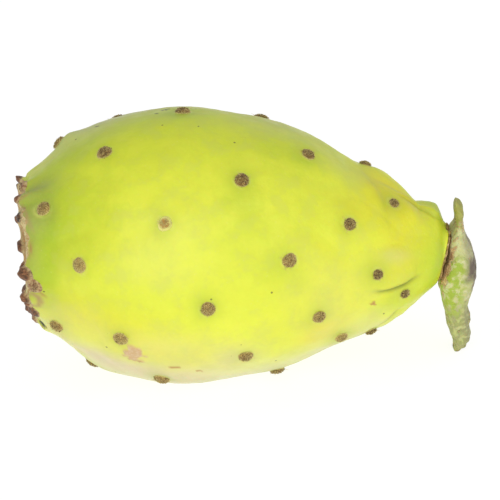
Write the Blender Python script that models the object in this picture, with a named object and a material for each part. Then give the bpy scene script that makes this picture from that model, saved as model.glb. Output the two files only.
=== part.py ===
"""Prickly pear fruit, picked with a heel of its pad, lying on its side.

The fruit is modelled about its own axis: x runs from the crown at the left to the base at the
right, and an angle round that axis is measured from the front (-Y) downwards. It is then tipped
so that it rests on a small flat spot under its belly and on the lower tip of the heel. Lengths
are in metres, and the tables below are in millimetres where they say so.
"""

import math

import bmesh
import bpy
import numpy as np
from mathutils import Matrix, Vector

MM = 0.001

# Outlines in mm: station along the axis, and radius there. The cup is sunk in the crown, and
# the flank's first two points lie under it, where the fruit would have closed
CUP_MM = ((5.2, 0.0), (5.3, 4.5), (4.9, 8.2), (3.8, 9.9), (2.2, 11.0), (1.3, 12.0), (1.2, 13.1))
FLANK_MM = (
    (-2.5, 9.8),
    (-0.3, 12.6),
    (1.9, 14.2),
    (4.8, 16.6),
    (8.0, 19.2),
    (11.2, 21.4),
    (18.0, 25.2),
    (25.6, 27.2),
    (32.0, 27.8),
    (40.0, 27.1),
    (49.6, 25.0),
    (56.0, 22.6),
    (64.0, 18.6),
    (71.0, 15.2),
    (77.4, 11.3),
    (81.0, 9.1),
    (83.4, 8.1),
    (84.4, 6.9),
)
BASE_MM = ((84.6, 6.2), (84.6, 3.2), (84.6, 0.0))
FLANK_HIDDEN = 2
CURVE_STEPS = 24
OUTLINE_POINTS = 43
FRUIT_SIDES = 56
FRUIT_LENGTH = BASE_MM[-1][0] * MM
CROWN_RADIUS = 13.4 * MM
CREST_STATION = 1.6 * MM

# How far the fruit's middle line lies above its straight axis, in mm at each station in mm
AXIS_LIFT_MM = ((0.0, 0.6), (9.0, 0.7), (20.0, 0.3), (48.0, 0.0), (68.0, -0.7), (79.0, -0.9), (84.6, -0.7))

# Its resting pose: how far the axis is tipped, and how deep the belly's flat spot is
TIP_DEG = 6.0
SAG = 0.5 * MM

# The crown is cut off aslant, furthest back at the side that faces forwards and down, and the
# base faces a little downwards
CROWN_SLANT_DEG = 8.0
CROWN_LOW_SIDE_DEG = 35.0
CROWN_SLANT_REACH = 15.0 * MM
BASE_SLANT_DEG = 7.7
BASE_SLANT_REACH = 9.0 * MM

# The areoles follow the fruit's growth spiral, numbered from the crown to the base
SPIRAL_TURN_DEG = 99.5
SPIRAL_START_DEG = -29.1
SPIRAL_START_STATION_MM = 27.6
SPIRAL_STEP_MM = 2.2
SPIRAL_TIGHTENING_MM = 0.0105
FIRST_AREOLE, LAST_AREOLE = -11, 27
FIRST_CROWN_NUB = -29

# In front of the belly's lowest line the spiral is squeezed round, and that line is bare
SPIRAL_ANGLE_DEG = (10.0, 100.0, 108.0, 370.0)
GROWN_ANGLE_DEG = (10.0, 80.0, 107.0, 370.0)

# Areoles that stand off the even spiral: in mm along the fruit, and in degrees round it
AREOLE_SHIFTS = {
    -10: (1.1, 3.0),
    -8: (-2.4, -3.0),
    -7: (-1.4, -1.0),
    -6: (0.4, 6.0),
    -4: (-3.1, -1.0),
    -3: (-1.9, 1.0),
    -1: (-4.5, 0.0),
    0: (0.0, 0.8),
    1: (-2.1, 2.0),
    3: (-1.9, 0.0),
    7: (0.7, 2.6),
    8: (0.0, 1.5),
    10: (-0.6, -5.0),
    11: (2.4, 2.2),
    12: (-1.5, 6.0),
    14: (0.8, 0.0),
    15: (0.6, 0.5),
    18: (1.5, 3.0),
    19: (-1.8, 0.0),
    21: (-0.4, -6.0),
    22: (0.2, 1.0),
    23: (-3.0, 3.0),
    25: (-1.8, -1.5),
    26: (-1.0, -1.5),
}

# The cushions are smaller along the neck. Each is sunk into the skin by a share of its height
AREOLE_RADIUS = 1.5 * MM
NECK_AREOLE_RADIUS = 1.15 * MM
NECK_ZONE = (50.0 * MM, 72.0 * MM)
AREOLE_HEIGHT = 0.75 * MM
SUNK_SHARE = 0.5
CUSHION_SIDES, CUSHION_RINGS = 9, 5

# The nubs on the crown's crest lean outwards, stand in a wavy row and differ in height
NUB_RADIUS = 1.5 * MM
NUB_HEIGHTS = (0.9 * MM, 1.8 * MM)
NUB_LEAN = 0.55
NUB_STAGGER = 0.4 * MM

# The swelling that carries each areole: its size and how high it stands in each zone
SWELLING_LENGTH = 8.5 * MM
SWELLING_WIDTH = 6.5 * MM
SWELLING_BACKSET = 2.0 * MM
SWELLING_HEIGHTS_MM = (
    (0.0, 1.0),
    (12.0, 0.8),
    (22.0, 0.25),
    (50.0, 0.25),
    (64.0, 0.7),
    (75.0, 1.1),
    (81.0, 0.5),
    (84.0, 0.0),
)

# The heel's edge-on outline in mm: distance below the fruit's axis, its middle's distance past
# the base, and its half thickness
HEEL_OUTLINE_MM = (
    (-9.4, 1.8, 0.2),
    (-8.0, 2.1, 0.75),
    (-4.6, 2.1, 1.3),
    (-2.9, 2.2, 1.8),
    (0.2, 2.6, 2.5),
    (4.4, 2.9, 3.5),
    (8.2, 2.1, 3.5),
    (10.2, 1.9, 2.9),
    (14.4, 2.3, 2.3),
    (19.4, 2.8, 1.8),
    (22.0, 2.7, 1.2),
    (23.3, 2.5, 0.5),
)
HEEL_MIDDLE = 6.9 * MM
HEEL_HALF_LENGTH = 16.4 * MM
HEEL_HALF_WIDTH = 7.6 * MM
HEEL_EDGE_POWER = 0.62
HEEL_TIP_POWER = 1.25
HEEL_TIP_BLUNTNESS = 2.2
HEEL_SIDES, HEEL_RINGS = 22, 22
JOINT_GAP = 0.3 * MM

WELD = 0.01 * MM

CUTTER_SIZE = 0.3


def smooth_path(points, count):
    """Even points along a rounded curve through the given points (Catmull-Rom)."""
    known = np.array(points, float)
    ends = np.vstack([2 * known[0] - known[1], known, 2 * known[-1] - known[-2]])
    fine = []
    for i in range(1, len(ends) - 2):
        before, start, end, after = ends[i - 1], ends[i], ends[i + 1], ends[i + 2]
        t = np.linspace(0, 1, CURVE_STEPS, endpoint=False)[:, None]
        fine.append(
            start
            + 0.5 * t * (end - before)
            + t**2 * (before - 2.5 * start + 2 * end - 0.5 * after)
            + 0.5 * t**3 * (after - before + 3 * (start - end))
        )
    fine = np.vstack([*fine, known[-1:]])
    length = np.concatenate([[0], np.cumsum(np.linalg.norm(np.diff(fine, axis=0), axis=1))])
    even = np.linspace(0, length[-1], count)
    return np.column_stack([np.interp(even, length, fine[:, k]) for k in range(known.shape[1])])


def from_table_mm(table, value):
    """A value in metres read from a table of pairs in mm."""
    stations, heights = zip(*table)
    return np.interp(value / MM, stations, heights) * MM


def round_direction(angle):
    """The direction at an angle round the fruit: 0 is the front, 90 degrees is straight down."""
    return Vector((0.0, -math.cos(angle), -math.sin(angle)))


def angle_round(point):
    return math.atan2(-point.z, -point.y)


class Areole:
    """One felt cushion: where it stands on the fruit, and its size."""

    def __init__(self, index):
        along, turned = AREOLE_SHIFTS.get(index, (0.0, 0.0))
        step = SPIRAL_STEP_MM - SPIRAL_TIGHTENING_MM * max(index, 0)
        self.index = index
        self.station = (SPIRAL_START_STATION_MM + step * index + along) * MM
        self.angle = spiral_angle(index) + math.radians(turned)
        self.radius = np.interp(self.station, NECK_ZONE, (AREOLE_RADIUS, NECK_AREOLE_RADIUS))


def spiral_angle(index):
    """The angle round the fruit of one areole on the spiral, in radians."""
    first = SPIRAL_ANGLE_DEG[0]
    turned = (SPIRAL_START_DEG + SPIRAL_TURN_DEG * index - first) % 360 + first
    return math.radians(np.interp(turned, SPIRAL_ANGLE_DEG, GROWN_ANGLE_DEG))


def radius_at(station):
    """The turned fruit's radius on its flank."""
    return from_table_mm(FLANK_MM, station)


def swelling(station, angle, areoles):
    """Height of the rounded swellings that carry the areoles, each highest just behind its areole."""
    best = 0.0
    for areole in areoles:
        along = (station - areole.station - SWELLING_BACKSET) / SWELLING_LENGTH
        turn = (angle - areole.angle + math.pi) % (2 * math.pi) - math.pi
        around = turn * radius_at(areole.station) / SWELLING_WIDTH
        best = max(best, 1 - math.hypot(along, around))
    return best * (2 - best) * from_table_mm(SWELLING_HEIGHTS_MM, station)


def slant(station, point):
    """How far a point moves along the axis because the ends are slanted."""
    low_side = round_direction(math.radians(CROWN_LOW_SIDE_DEG))
    crown = math.tan(math.radians(CROWN_SLANT_DEG)) * math.exp(-((station / CROWN_SLANT_REACH) ** 2))
    to_base = (FRUIT_LENGTH - station) / BASE_SLANT_REACH
    base = math.tan(math.radians(BASE_SLANT_DEG)) * math.exp(-(to_base**2))
    return crown * (low_side.y * point.y + low_side.z * point.z) + base * point.z


def grown(point, station):
    """A point of the straight turned fruit, moved to where the slanted and bowed fruit has it.

    The slant slides it along the flank, so its radius changes as the flank's does.
    """
    shift = slant(station, point)
    spread = radius_at(station + shift) / radius_at(station)
    lift = from_table_mm(AXIS_LIFT_MM, station)
    return Vector((point.x + shift, point.y * spread, point.z * spread + lift))


def object_from(bm, name, *materials):
    mesh = bpy.data.meshes.new(name)
    bm.to_mesh(mesh)
    bm.free()
    mesh.shade_smooth()
    for material in materials:
        mesh.materials.append(material)
    return bpy.data.objects.new(name, mesh)


def turned_body(areoles):
    """The outline spun about the axis, with a swelling under each areole."""
    bm = bmesh.new()
    outline = smooth_path(CUP_MM + FLANK_MM[FLANK_HIDDEN:] + BASE_MM, OUTLINE_POINTS) * MM
    ring = [bm.verts.new((station, 0.0, radius)) for station, radius in outline]
    edges = [bm.edges.new(pair) for pair in zip(ring, ring[1:])]
    bmesh.ops.spin(
        bm,
        geom=ring + edges,
        cent=(0, 0, 0),
        axis=(1, 0, 0),
        angle=2 * math.pi,
        steps=FRUIT_SIDES,
        use_merge=True,
    )
    bmesh.ops.remove_doubles(bm, verts=bm.verts, dist=WELD)
    bmesh.ops.recalc_face_normals(bm, faces=bm.faces)
    bm.normal_update()
    moved = {}
    for vert in bm.verts:
        in_cup = math.hypot(vert.co.y, vert.co.z) < CROWN_RADIUS and vert.co.x < CROWN_RADIUS
        station = CREST_STATION if in_cup else vert.co.x
        rise = 0.0 if in_cup else swelling(station, angle_round(vert.co), areoles)
        moved[vert] = grown(vert.co + vert.normal * rise, station)
    for vert, place in moved.items():
        vert.co = place
    return bm


def cushion(name, radius, height, place, outward, material):
    """A low dome with its root sunk in what it grows from."""
    bm = bmesh.new()
    bmesh.ops.create_uvsphere(bm, u_segments=CUSHION_SIDES, v_segments=CUSHION_RINGS, radius=1.0)
    root = height * SUNK_SHARE
    bmesh.ops.scale(bm, vec=(radius, radius, height + root), verts=bm.verts)
    turn = outward.to_track_quat("Z", "Y").to_matrix().to_4x4()
    bmesh.ops.transform(bm, matrix=Matrix.Translation(place - outward * root) @ turn, verts=bm.verts)
    return object_from(bm, name, material)


def surface_hit(body, start, direction):
    """The point and outward normal where a ray from inside the fruit leaves its skin."""
    hit, place, normal, _ = body.ray_cast(start, direction)
    if not hit:
        raise ValueError("an areole's ray misses the fruit")
    return place, normal


def areole_cushions(body, areoles, material):
    cushions = []
    for areole in areoles:
        start = grown(Vector((areole.station, 0, 0)), areole.station)
        place, normal = surface_hit(body, start, round_direction(areole.angle))
        name = f"areole_{areole.index}"
        cushions.append(cushion(name, areole.radius, AREOLE_HEIGHT, place, normal, material))
    return cushions


def crown_nubs(material):
    """The crowded last areoles of the spiral, standing on the crown's crest and leaning outwards."""
    nubs = []
    for index in range(FIRST_CROWN_NUB, FIRST_AREOLE):
        outwards = round_direction(spiral_angle(index))
        stagger = NUB_STAGGER if index % 2 else -NUB_STAGGER
        straight = outwards * (CROWN_RADIUS + stagger) + Vector((CREST_STATION, 0, 0))
        upright = (outwards * NUB_LEAN + Vector((-1, 0, 0))).normalized()
        height = np.interp(math.sin(index * index), (-1, 1), NUB_HEIGHTS)
        place = grown(straight, CREST_STATION)
        nubs.append(cushion(f"nub_{index}", NUB_RADIUS, height, place, upright, material))
    return nubs


def applied(obj):
    """Replaces an object's mesh by its evaluated one, and drops its modifiers."""
    graph = bpy.context.evaluated_depsgraph_get()
    mesh = bpy.data.meshes.new_from_object(obj.evaluated_get(graph))
    obj.modifiers.clear()
    obj.data = mesh


def fused(body, repeats):
    """Joins the small repeats to the body by one Boolean union."""
    group = bpy.data.collections.new("repeats")
    bpy.context.scene.collection.children.link(group)
    for repeat in repeats:
        group.objects.link(repeat)
    union = body.modifiers.new("repeats", "BOOLEAN")
    union.operation = "UNION"
    union.operand_type = "COLLECTION"
    union.collection = group
    union.solver = "EXACT"
    bpy.context.view_layer.update()
    applied(body)
    for repeat in repeats:
        bpy.data.objects.remove(repeat)
    bpy.data.collections.remove(group)


def heel_body(material):
    """The slice of pad: a sphere drawn out along the slice, with each ring shaped to its outline."""
    bm = bmesh.new()
    bmesh.ops.create_uvsphere(bm, u_segments=HEEL_SIDES, v_segments=HEEL_RINGS, radius=1.0)
    depths, middles, halves = (np.array(column) * MM for column in zip(*HEEL_OUTLINE_MM))
    for vert in bm.verts:
        ring = math.hypot(vert.co.x, vert.co.y)
        across = math.atan2(vert.co.y, vert.co.x)
        depth = HEEL_MIDDLE - vert.co.z * HEEL_HALF_LENGTH
        thin = np.interp(depth, depths, halves) * min(1.0, HEEL_TIP_BLUNTNESS * ring)
        wide = HEEL_HALF_WIDTH * ring**HEEL_TIP_POWER
        side, back = math.sin(across), math.cos(across)
        vert.co = Vector(
            (
                FRUIT_LENGTH
                + JOINT_GAP
                + np.interp(depth, depths, middles)
                + thin * math.copysign(abs(back) ** HEEL_EDGE_POWER, back),
                wide * math.copysign(abs(side) ** HEEL_EDGE_POWER, side),
                -depth,
            )
        )
    bmesh.ops.remove_doubles(bm, verts=bm.verts, dist=WELD)
    bmesh.ops.recalc_face_normals(bm, faces=bm.faces)
    return object_from(bm, "pad_heel", material)


def block(name, cutters, matrix):
    """A large cutting block whose top face lies in the XY plane of the matrix."""
    bm = bmesh.new()
    bmesh.ops.create_cube(bm, size=CUTTER_SIZE)
    bmesh.ops.translate(bm, vec=(0, 0, -CUTTER_SIZE / 2), verts=bm.verts)
    cutter = object_from(bm, name)
    cutters.objects.link(cutter)
    cutter.matrix_world = matrix
    cutter.hide_render = True
    cutter.display_type = "WIRE"
    return cutter


def cut_by(obj, cutter):
    cut = obj.modifiers.new(cutter.name, "BOOLEAN")
    cut.operation = "DIFFERENCE"
    cut.object = cutter
    cut.solver = "EXACT"


def plain_material(name, colour, roughness):
    material = bpy.data.materials.new(name)
    material.use_nodes = True
    shader = material.node_tree.nodes["Principled BSDF"]
    shader.inputs["Base Color"].default_value = (*colour, 1.0)
    shader.inputs["Roughness"].default_value = roughness
    shader.inputs["Metallic"].default_value = 0.0
    return material


def lowest_and_highest(objects):
    """Corners of the box round the objects as they are placed."""
    bpy.context.view_layer.update()
    graph = bpy.context.evaluated_depsgraph_get()
    points = []
    for obj in objects:
        evaluated = obj.evaluated_get(graph)
        mesh = evaluated.to_mesh()
        points += [evaluated.matrix_world @ vert.co for vert in mesh.vertices]
        evaluated.to_mesh_clear()
    cloud = np.array(points)
    return cloud.min(axis=0), cloud.max(axis=0)


def main():
    for obj in list(bpy.data.objects):
        bpy.data.objects.remove(obj)
    scene_root = bpy.context.scene.collection
    parts = bpy.data.collections.new("prickly_pear")
    cutters = bpy.data.collections.new("cutters")
    scene_root.children.link(parts)
    scene_root.children.link(cutters)

    skin = plain_material("fruit_skin", (0.62, 0.68, 0.08), 0.45)
    felt = plain_material("areole_felt", (0.25, 0.16, 0.08), 0.9)
    pad = plain_material("pad_flesh", (0.45, 0.48, 0.18), 0.6)

    areoles = [Areole(index) for index in range(FIRST_AREOLE, LAST_AREOLE + 1)]
    fruit = object_from(turned_body(areoles), "fruit", skin, felt)
    parts.objects.link(fruit)
    fused(fruit, areole_cushions(fruit, areoles, felt) + crown_nubs(felt))
    heel = heel_body(pad)
    parts.objects.link(heel)

    # Both pieces hang on one empty that tips them to their resting pose
    lie = bpy.data.objects.new("lie", None)
    parts.objects.link(lie)
    lie.rotation_euler = (0.0, math.radians(TIP_DEG), 0.0)
    for piece in (fruit, heel):
        piece.parent = lie
    low, high = lowest_and_highest([fruit])
    lie.location.z = -low[2] - SAG
    low, high = lowest_and_highest([fruit, heel])
    lie.location.x = -(low[0] + high[0]) / 2
    lie.location.y = -(low[1] + high[1]) / 2
    bpy.context.view_layer.update()

    # The floor squashes the belly's flat spot and the heel's tip, and the heel ends at the base
    floor = block("floor_cut", cutters, Matrix.Identity(4))
    base_face = Matrix.Translation((FRUIT_LENGTH + JOINT_GAP, 0, 0)) @ Matrix.Rotation(
        math.radians(90 + BASE_SLANT_DEG), 4, "Y"
    )
    joint = block("joint_cut", cutters, lie.matrix_world @ base_face)
    cut_by(fruit, floor)
    cut_by(heel, joint)
    cut_by(heel, floor)


main()
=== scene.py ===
"""Prickly pear with a heel of its pad: the finished look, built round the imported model.

The fruit is worked out about its own axis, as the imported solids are: a station runs along the
axis from the crown at the left to the base at the right, and an angle round the axis is counted
from the front (-Y) downwards. The fruit is then bowed, its ends are slanted, and it is laid down.
Every surface is a grid worked out with numpy as whole arrays. Lengths are in metres, and the
tables and fields whose names end in _mm are in millimetres.
"""

import logging
import math
from dataclasses import dataclass
from enum import Enum

import bpy
import numpy as np
from mathutils import Matrix, Vector


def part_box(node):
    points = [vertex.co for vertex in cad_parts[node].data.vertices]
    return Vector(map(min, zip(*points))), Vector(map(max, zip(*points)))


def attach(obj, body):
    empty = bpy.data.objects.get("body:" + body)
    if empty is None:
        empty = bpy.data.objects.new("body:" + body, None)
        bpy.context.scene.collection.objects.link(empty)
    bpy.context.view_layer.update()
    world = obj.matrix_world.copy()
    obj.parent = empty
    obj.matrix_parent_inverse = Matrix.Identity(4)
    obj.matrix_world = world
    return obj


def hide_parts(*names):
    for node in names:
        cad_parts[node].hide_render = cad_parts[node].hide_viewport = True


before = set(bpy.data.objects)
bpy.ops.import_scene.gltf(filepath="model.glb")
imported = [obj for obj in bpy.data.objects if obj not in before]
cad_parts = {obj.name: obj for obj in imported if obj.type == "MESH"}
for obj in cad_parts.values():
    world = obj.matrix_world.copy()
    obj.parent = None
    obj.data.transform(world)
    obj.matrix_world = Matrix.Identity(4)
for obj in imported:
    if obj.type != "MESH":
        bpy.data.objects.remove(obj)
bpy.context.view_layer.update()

MM = 0.001
Array = np.ndarray
Table = tuple[tuple[float, ...], ...]
Colour = tuple[int, int, int]
WHITE = (1, 1, 1, 1)
Node, Socket, Tree, Piece = bpy.types.Node, bpy.types.NodeSocket, bpy.types.NodeTree, bpy.types.Object
Sockets = tuple[tuple[str, str], ...]
Ends = bpy.types.bpy_prop_collection

log = logging.getLogger("prickly_pear")


# Shared sums


def columns(table: Table) -> Array:
    """The columns of a table of numbers, as the rows of an array."""
    return np.array(table, float).T


def read_mm(table: Table, value: Array) -> Array:
    """Reads a table of pairs in millimetres.

    Formula: straight lines between the pairs, and the end values outside them.

    Args:
        table: Pairs of place and value, in millimetres.
        value: Places in metres.

    Returns:
        The table's values in metres.
    """
    places, values = columns(table)
    return np.interp(value / MM, places, values) * MM


def rounded_path(points: Table, steps: int) -> Array:
    """Draws a rounded line through points.

    Formula: each span is the cubic that has at its ends the mean slope of its two neighbours
    (Catmull-Rom).

    Args:
        points: The points that the line passes through.
        steps: Number of steps in each span.

    Returns:
        The points of the line, in the units of the given ones.
    """
    known = np.array(points, float)
    known = np.vstack([2 * known[0] - known[1], known, 2 * known[-1] - known[-2]])
    before, start, end, after = (known[i : len(known) - 3 + i, None] for i in range(4))
    t = np.linspace(0, 1, steps, endpoint=False)[None, :, None]
    spans = (
        start
        + 0.5 * t * (end - before)
        + t**2 * (before - 2.5 * start + 2 * end - 0.5 * after)
        + 0.5 * t**3 * (after - before + 3 * (start - end))
    )
    return np.vstack([spans.reshape(-1, known.shape[1]), known[-2]])


def turn_between(angle: Array, other: Array) -> Array:
    """The turn from one angle to another the short way round, in radians."""
    return (angle - other + math.pi) % (2 * math.pi) - math.pi


def bell(distance: Array, reach: float) -> Array:
    """A soft spot: 1 in the middle, falling as exp(-(distance / reach) squared)."""
    return np.exp(-((distance / reach) ** 2))


def ease(value: Array, low: float, high: float) -> Array:
    """Rises smoothly from 0 at low to 1 at high, as 3 t squared less 2 t cubed."""
    t = np.clip((value - low) / (high - low), 0, 1)
    return t * t * (3 - 2 * t)


def waves(points: Array, length: float, seed: int, count: int = 14) -> Array:
    """Soft random relief in space.

    Formula: the mean of sines along random directions with random phases, scaled so that it mostly
    lies between -1 and 1.

    Args:
        points: Places in metres, with x, y and z last.
        length: Wavelength in metres.
        seed: Seed of the random draw.
        count: Number of sines.

    Returns:
        A value for each point.
    """
    draw = np.random.default_rng(seed)
    directions = draw.normal(size=(count, 3))
    directions /= np.linalg.norm(directions, axis=1)[:, None]
    rates = 2 * math.pi / (length * draw.uniform(0.7, 1.5, count))
    phases = draw.uniform(0, 2 * math.pi, count)
    return np.sin(points @ (directions * rates[:, None]).T + phases).sum(-1) / math.sqrt(count)


def grid_of(first: Array, second: Array) -> tuple[Array, Array]:
    """Two parameters on a grid, the first changing from row to row."""
    return tuple(np.meshgrid(first, second, indexing="ij"))


def round_about(count: int) -> Array:
    """Angles spaced evenly once round."""
    return np.linspace(0, 2 * math.pi, count, endpoint=False)


def ray_at(angle: Array) -> Array:
    """Directions straight out from the straight axis, at some angles round it."""
    return np.stack([angle * 0, -np.cos(angle), -np.sin(angle)], -1)


def each(things: tuple[object, ...], field: str) -> Array:
    """One field of each thing, as an array."""
    return np.array([getattr(thing, field) for thing in things])


def unit(vectors: Array) -> Array:
    """Vectors scaled to length 1."""
    return vectors / np.linalg.norm(vectors, axis=-1, keepdims=True)


def linear(colour: Colour) -> tuple[float, float, float, float]:
    """A screen colour of 0 to 255 as the linear colour with alpha that shaders take."""
    share = np.array(colour) / 255
    value = np.where(share <= 0.04045, share / 12.92, ((share + 0.055) / 1.055) ** 2.4)
    return (*value.tolist(), 1.0)


# Meshes from grids


@dataclass
class Grid:
    """A mesh being put together from grids of points, with values painted on its points."""

    name: str

    def __post_init__(self) -> None:
        """Starts with no points."""
        self.points: list[Array] = []
        self.faces: list[Array] = []
        self.paint: dict[str, list[Array]] = {}
        self.count = 0

    def add_rings(self, rings: Array, paint: dict[str, Array] | None = None) -> None:
        """Adds tubes: closed rings of points joined one after another, with closed ends.

        Each tube's first and last ring is a pole whose points all lie at one place, and it becomes
        a single point with a fan of triangles.

        Args:
            rings: Points in an array of tubes by rings by points round by 3. The outside is on the
                left when one looks along the rings with the points counted on.
            paint: Values for the points, in arrays of tubes by rings by points round.
        """
        tubes, rows, sides, _ = rings.shape
        body = rings[:, 1:-1].reshape(tubes, -1, 3)
        points = np.concatenate([rings[:, 0, :1], body, rings[:, -1, :1]], axis=1)
        per_tube = points.shape[1]
        index = 1 + np.arange((rows - 2) * sides).reshape(rows - 2, sides)
        following = np.roll(index, -1, axis=1)
        quads = np.stack([index[:-1], following[:-1], following[1:], index[1:]], -1).reshape(-1, 4)
        last = np.full(sides, per_tube - 1)
        first_fan = np.stack([np.zeros(sides, int), following[0], index[0]], -1)
        last_fan = np.stack([index[-1], following[-1], last], -1)
        shift = self.count + per_tube * np.arange(tubes)[:, None, None]
        self.points.append(points.reshape(-1, 3))
        for faces in (quads, first_fan, last_fan):
            self.faces.append((faces[None] + shift).reshape(-1, faces.shape[1]))
        for key, values in (paint or {}).items():
            values = np.broadcast_to(values, rings.shape[:3])
            middle = values[:, 1:-1].reshape(tubes, -1)
            ends = np.concatenate([values[:, 0, :1], middle, values[:, -1, :1]], axis=1)
            self.paint.setdefault(key, []).append(ends.reshape(-1))
        self.count += tubes * per_tube

    def build(self) -> Piece:
        """Makes the object: its mesh, smooth shading, and its painted values.

        Returns:
            The piece.
        """
        mesh = bpy.data.meshes.new(self.name)
        faces = [face for block in self.faces for face in block.tolist()]
        mesh.from_pydata(np.concatenate(self.points).tolist(), [], faces)
        for key, blocks in self.paint.items():
            values = np.concatenate(blocks).astype(np.float32)
            mesh.attributes.new(key, "FLOAT", "POINT").data.foreach_set("value", values)
        mesh.shade_smooth()
        piece = bpy.data.objects.new(self.name, mesh)
        bpy.context.scene.collection.objects.link(piece)
        log.info("%s: %d points, %d faces", self.name, self.count, len(faces))
        return piece


# The fruit's form


class Felt(Enum):
    """How light an areole's felt has stayed."""

    FRESH = 0.6
    GREY = 0.5
    TAN = 0.38
    BROWN = 0.22
    DARK = 0.1


@dataclass(frozen=True)
class Spiral:
    """The growth spiral that the areoles follow, numbered from the crown to the base."""

    turn_deg: float = 99.5
    start_deg: float = -29.1
    start_station_mm: float = 27.6
    step_mm: float = 2.2
    tightening_mm: float = 0.0105
    first: int = -11
    last: int = 27
    squeezed_deg: tuple[float, ...] = (10.0, 100.0, 108.0, 370.0)
    grown_deg: tuple[float, ...] = (10.0, 80.0, 107.0, 370.0)

    def angle(self, index: int) -> float:
        """The angle round the fruit of one areole, in radians."""
        first = self.squeezed_deg[0]
        turned = (self.start_deg + self.turn_deg * index - first) % 360 + first
        return math.radians(np.interp(turned, self.squeezed_deg, self.grown_deg))

    def station(self, index: int) -> float:
        """The station of one areole, in metres: its steps shorten towards the base."""
        step = self.step_mm - self.tightening_mm * max(index, 0)
        return (self.start_station_mm + step * index) * MM


# Areoles that stand off the even spiral: in mm along the fruit, and in degrees round it
AREOLE_SHIFTS = {
    -11: (0.9, 1.8), -10: (-0.4, -6.7), -8: (-0.5, -3), -7: (-2.1, -2), -6: (-0.6, 6), -4: (-2.3, 1.1),
    -3: (-2.3, -1.1), -1: (-5.4, 4), 0: (0.2, 1.2), 1: (-2.1, -2), 3: (-2.2, -0.7), 4: (0.2, -1.2),
    7: (0.6, 4.5), 8: (-0.3, -1.7), 10: (-0.6, -2), 11: (2, 1.7), 12: (-1.5, 2), 14: (0.2, 3.1),
    15: (0.4, -0.2), 18: (0.8, 4), 19: (-2.4, -4.5), 21: (-0.8, -6), 22: (-0.8, -1.2), 23: (-3, -18),
    25: (-3.1, 3.2), 26: (-1.5, -9.5),
}
FELTS = {
    0: Felt.FRESH, -11: Felt.TAN, -10: Felt.TAN, -7: Felt.GREY, -3: Felt.GREY, 1: Felt.TAN, 4: Felt.TAN,
    11: Felt.TAN, 8: Felt.TAN, 15: Felt.TAN, 19: Felt.GREY, 22: Felt.DARK, 23: Felt.DARK, 26: Felt.DARK,
}
AREOLE_SIZES = {0: 0.95, 1: 1.1, 22: 0.9, 25: 0.9, 26: 0.85}


class NubLook(Enum):
    """What covers a nub of the crown: how light its felt is."""

    TUFT = 0.34
    TAN = 0.12
    RED = 0.0
    DARK = -0.28


# The crown's nubs: degrees round, mm out over the crest, radius and height in mm, how much longer
# each is round than along, how far it leans outwards, and its look
CROWN_NUBS = (
    (-107, 0.2, 1.3, 0.65, 1, 0.4, NubLook.RED),
    (-77, 0.7, 1.1, 0.8, 1.7, 0.8, NubLook.TUFT),
    (-58.5, -0.1, 1.1, 0.7, 1, 0.3, NubLook.RED),
    (-40, -0.5, 1.1, 0.5, 1, 0.2, NubLook.DARK),
    (4, 0, 1.45, 1.1, 0.8, 0.5, NubLook.RED),
    (11.7, 1.45, 1.1, 0.6, 1.3, 0.9, NubLook.TUFT),
    (25, -0.1, 1.15, 1.1, 1, 0.3, NubLook.RED),
    (30, 0.1, 0.8, 0.5, 1, 0.3, NubLook.TAN),
    (35.5, 0.9, 1.2, 0.5, 1.2, 0.5, NubLook.RED),
    (76, 0.1, 1.2, 0.4, 1.1, 0.4, NubLook.TAN),
    (97, 0.2, 1.25, 1, 1, 0.4, NubLook.RED),
    (117, 0.1, 1.15, 0.9, 1.1, 0.4, NubLook.RED),
    (136, -0.3, 1.2, 0.6, 1, 0.3, NubLook.RED),
    (156, -0.2, 1.45, 0.85, 1, 0.2, NubLook.RED),
    (181, 0.4, 1.1, 0.55, 1, 0.4, NubLook.TAN),
    (201, 0.9, 1.2, 0.45, 1.1, 0.4, NubLook.RED),
    (221, 1, 1.2, 0.4, 1, 0.5, NubLook.DARK),
    (238, 0.9, 1.1, 0.4, 1.1, 0.5, NubLook.RED),
)


@dataclass(frozen=True)
class Areole:
    """One felt cushion: where it stands on the fruit, its radius, and its felt."""

    index: int
    station: float
    angle: float
    radius: float
    felt: Felt


@dataclass(frozen=True)
class Nub:
    """One close-set areole of the crown: its angle, place over the crest, size and look."""

    angle: float
    past_crest: float
    radius: float
    height: float
    stretch: float
    lean: float
    look: NubLook

    @classmethod
    def from_row(cls, row: tuple[float | NubLook, ...]) -> "Nub":
        """A nub from a row of CROWN_NUBS, whose lengths are in mm."""
        degrees, past_crest, radius, height, stretch, lean, look = row
        return cls(math.radians(degrees), past_crest * MM, radius * MM, height * MM, stretch, lean, look)


@dataclass(frozen=True)
class Shoulder:
    """How one side of the neck narrows to the base: stations and changes of radius, in mm."""

    angle_deg: float
    reach_deg: float
    change_mm: Table

    def change(self, station: Array, angle: Array) -> Array:
        """The change of radius: the table's, falling off as a bell away from that side."""
        turned = np.degrees(turn_between(angle, math.radians(self.angle_deg)))
        return read_mm(self.change_mm, station) * bell(turned, self.reach_deg)


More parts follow.
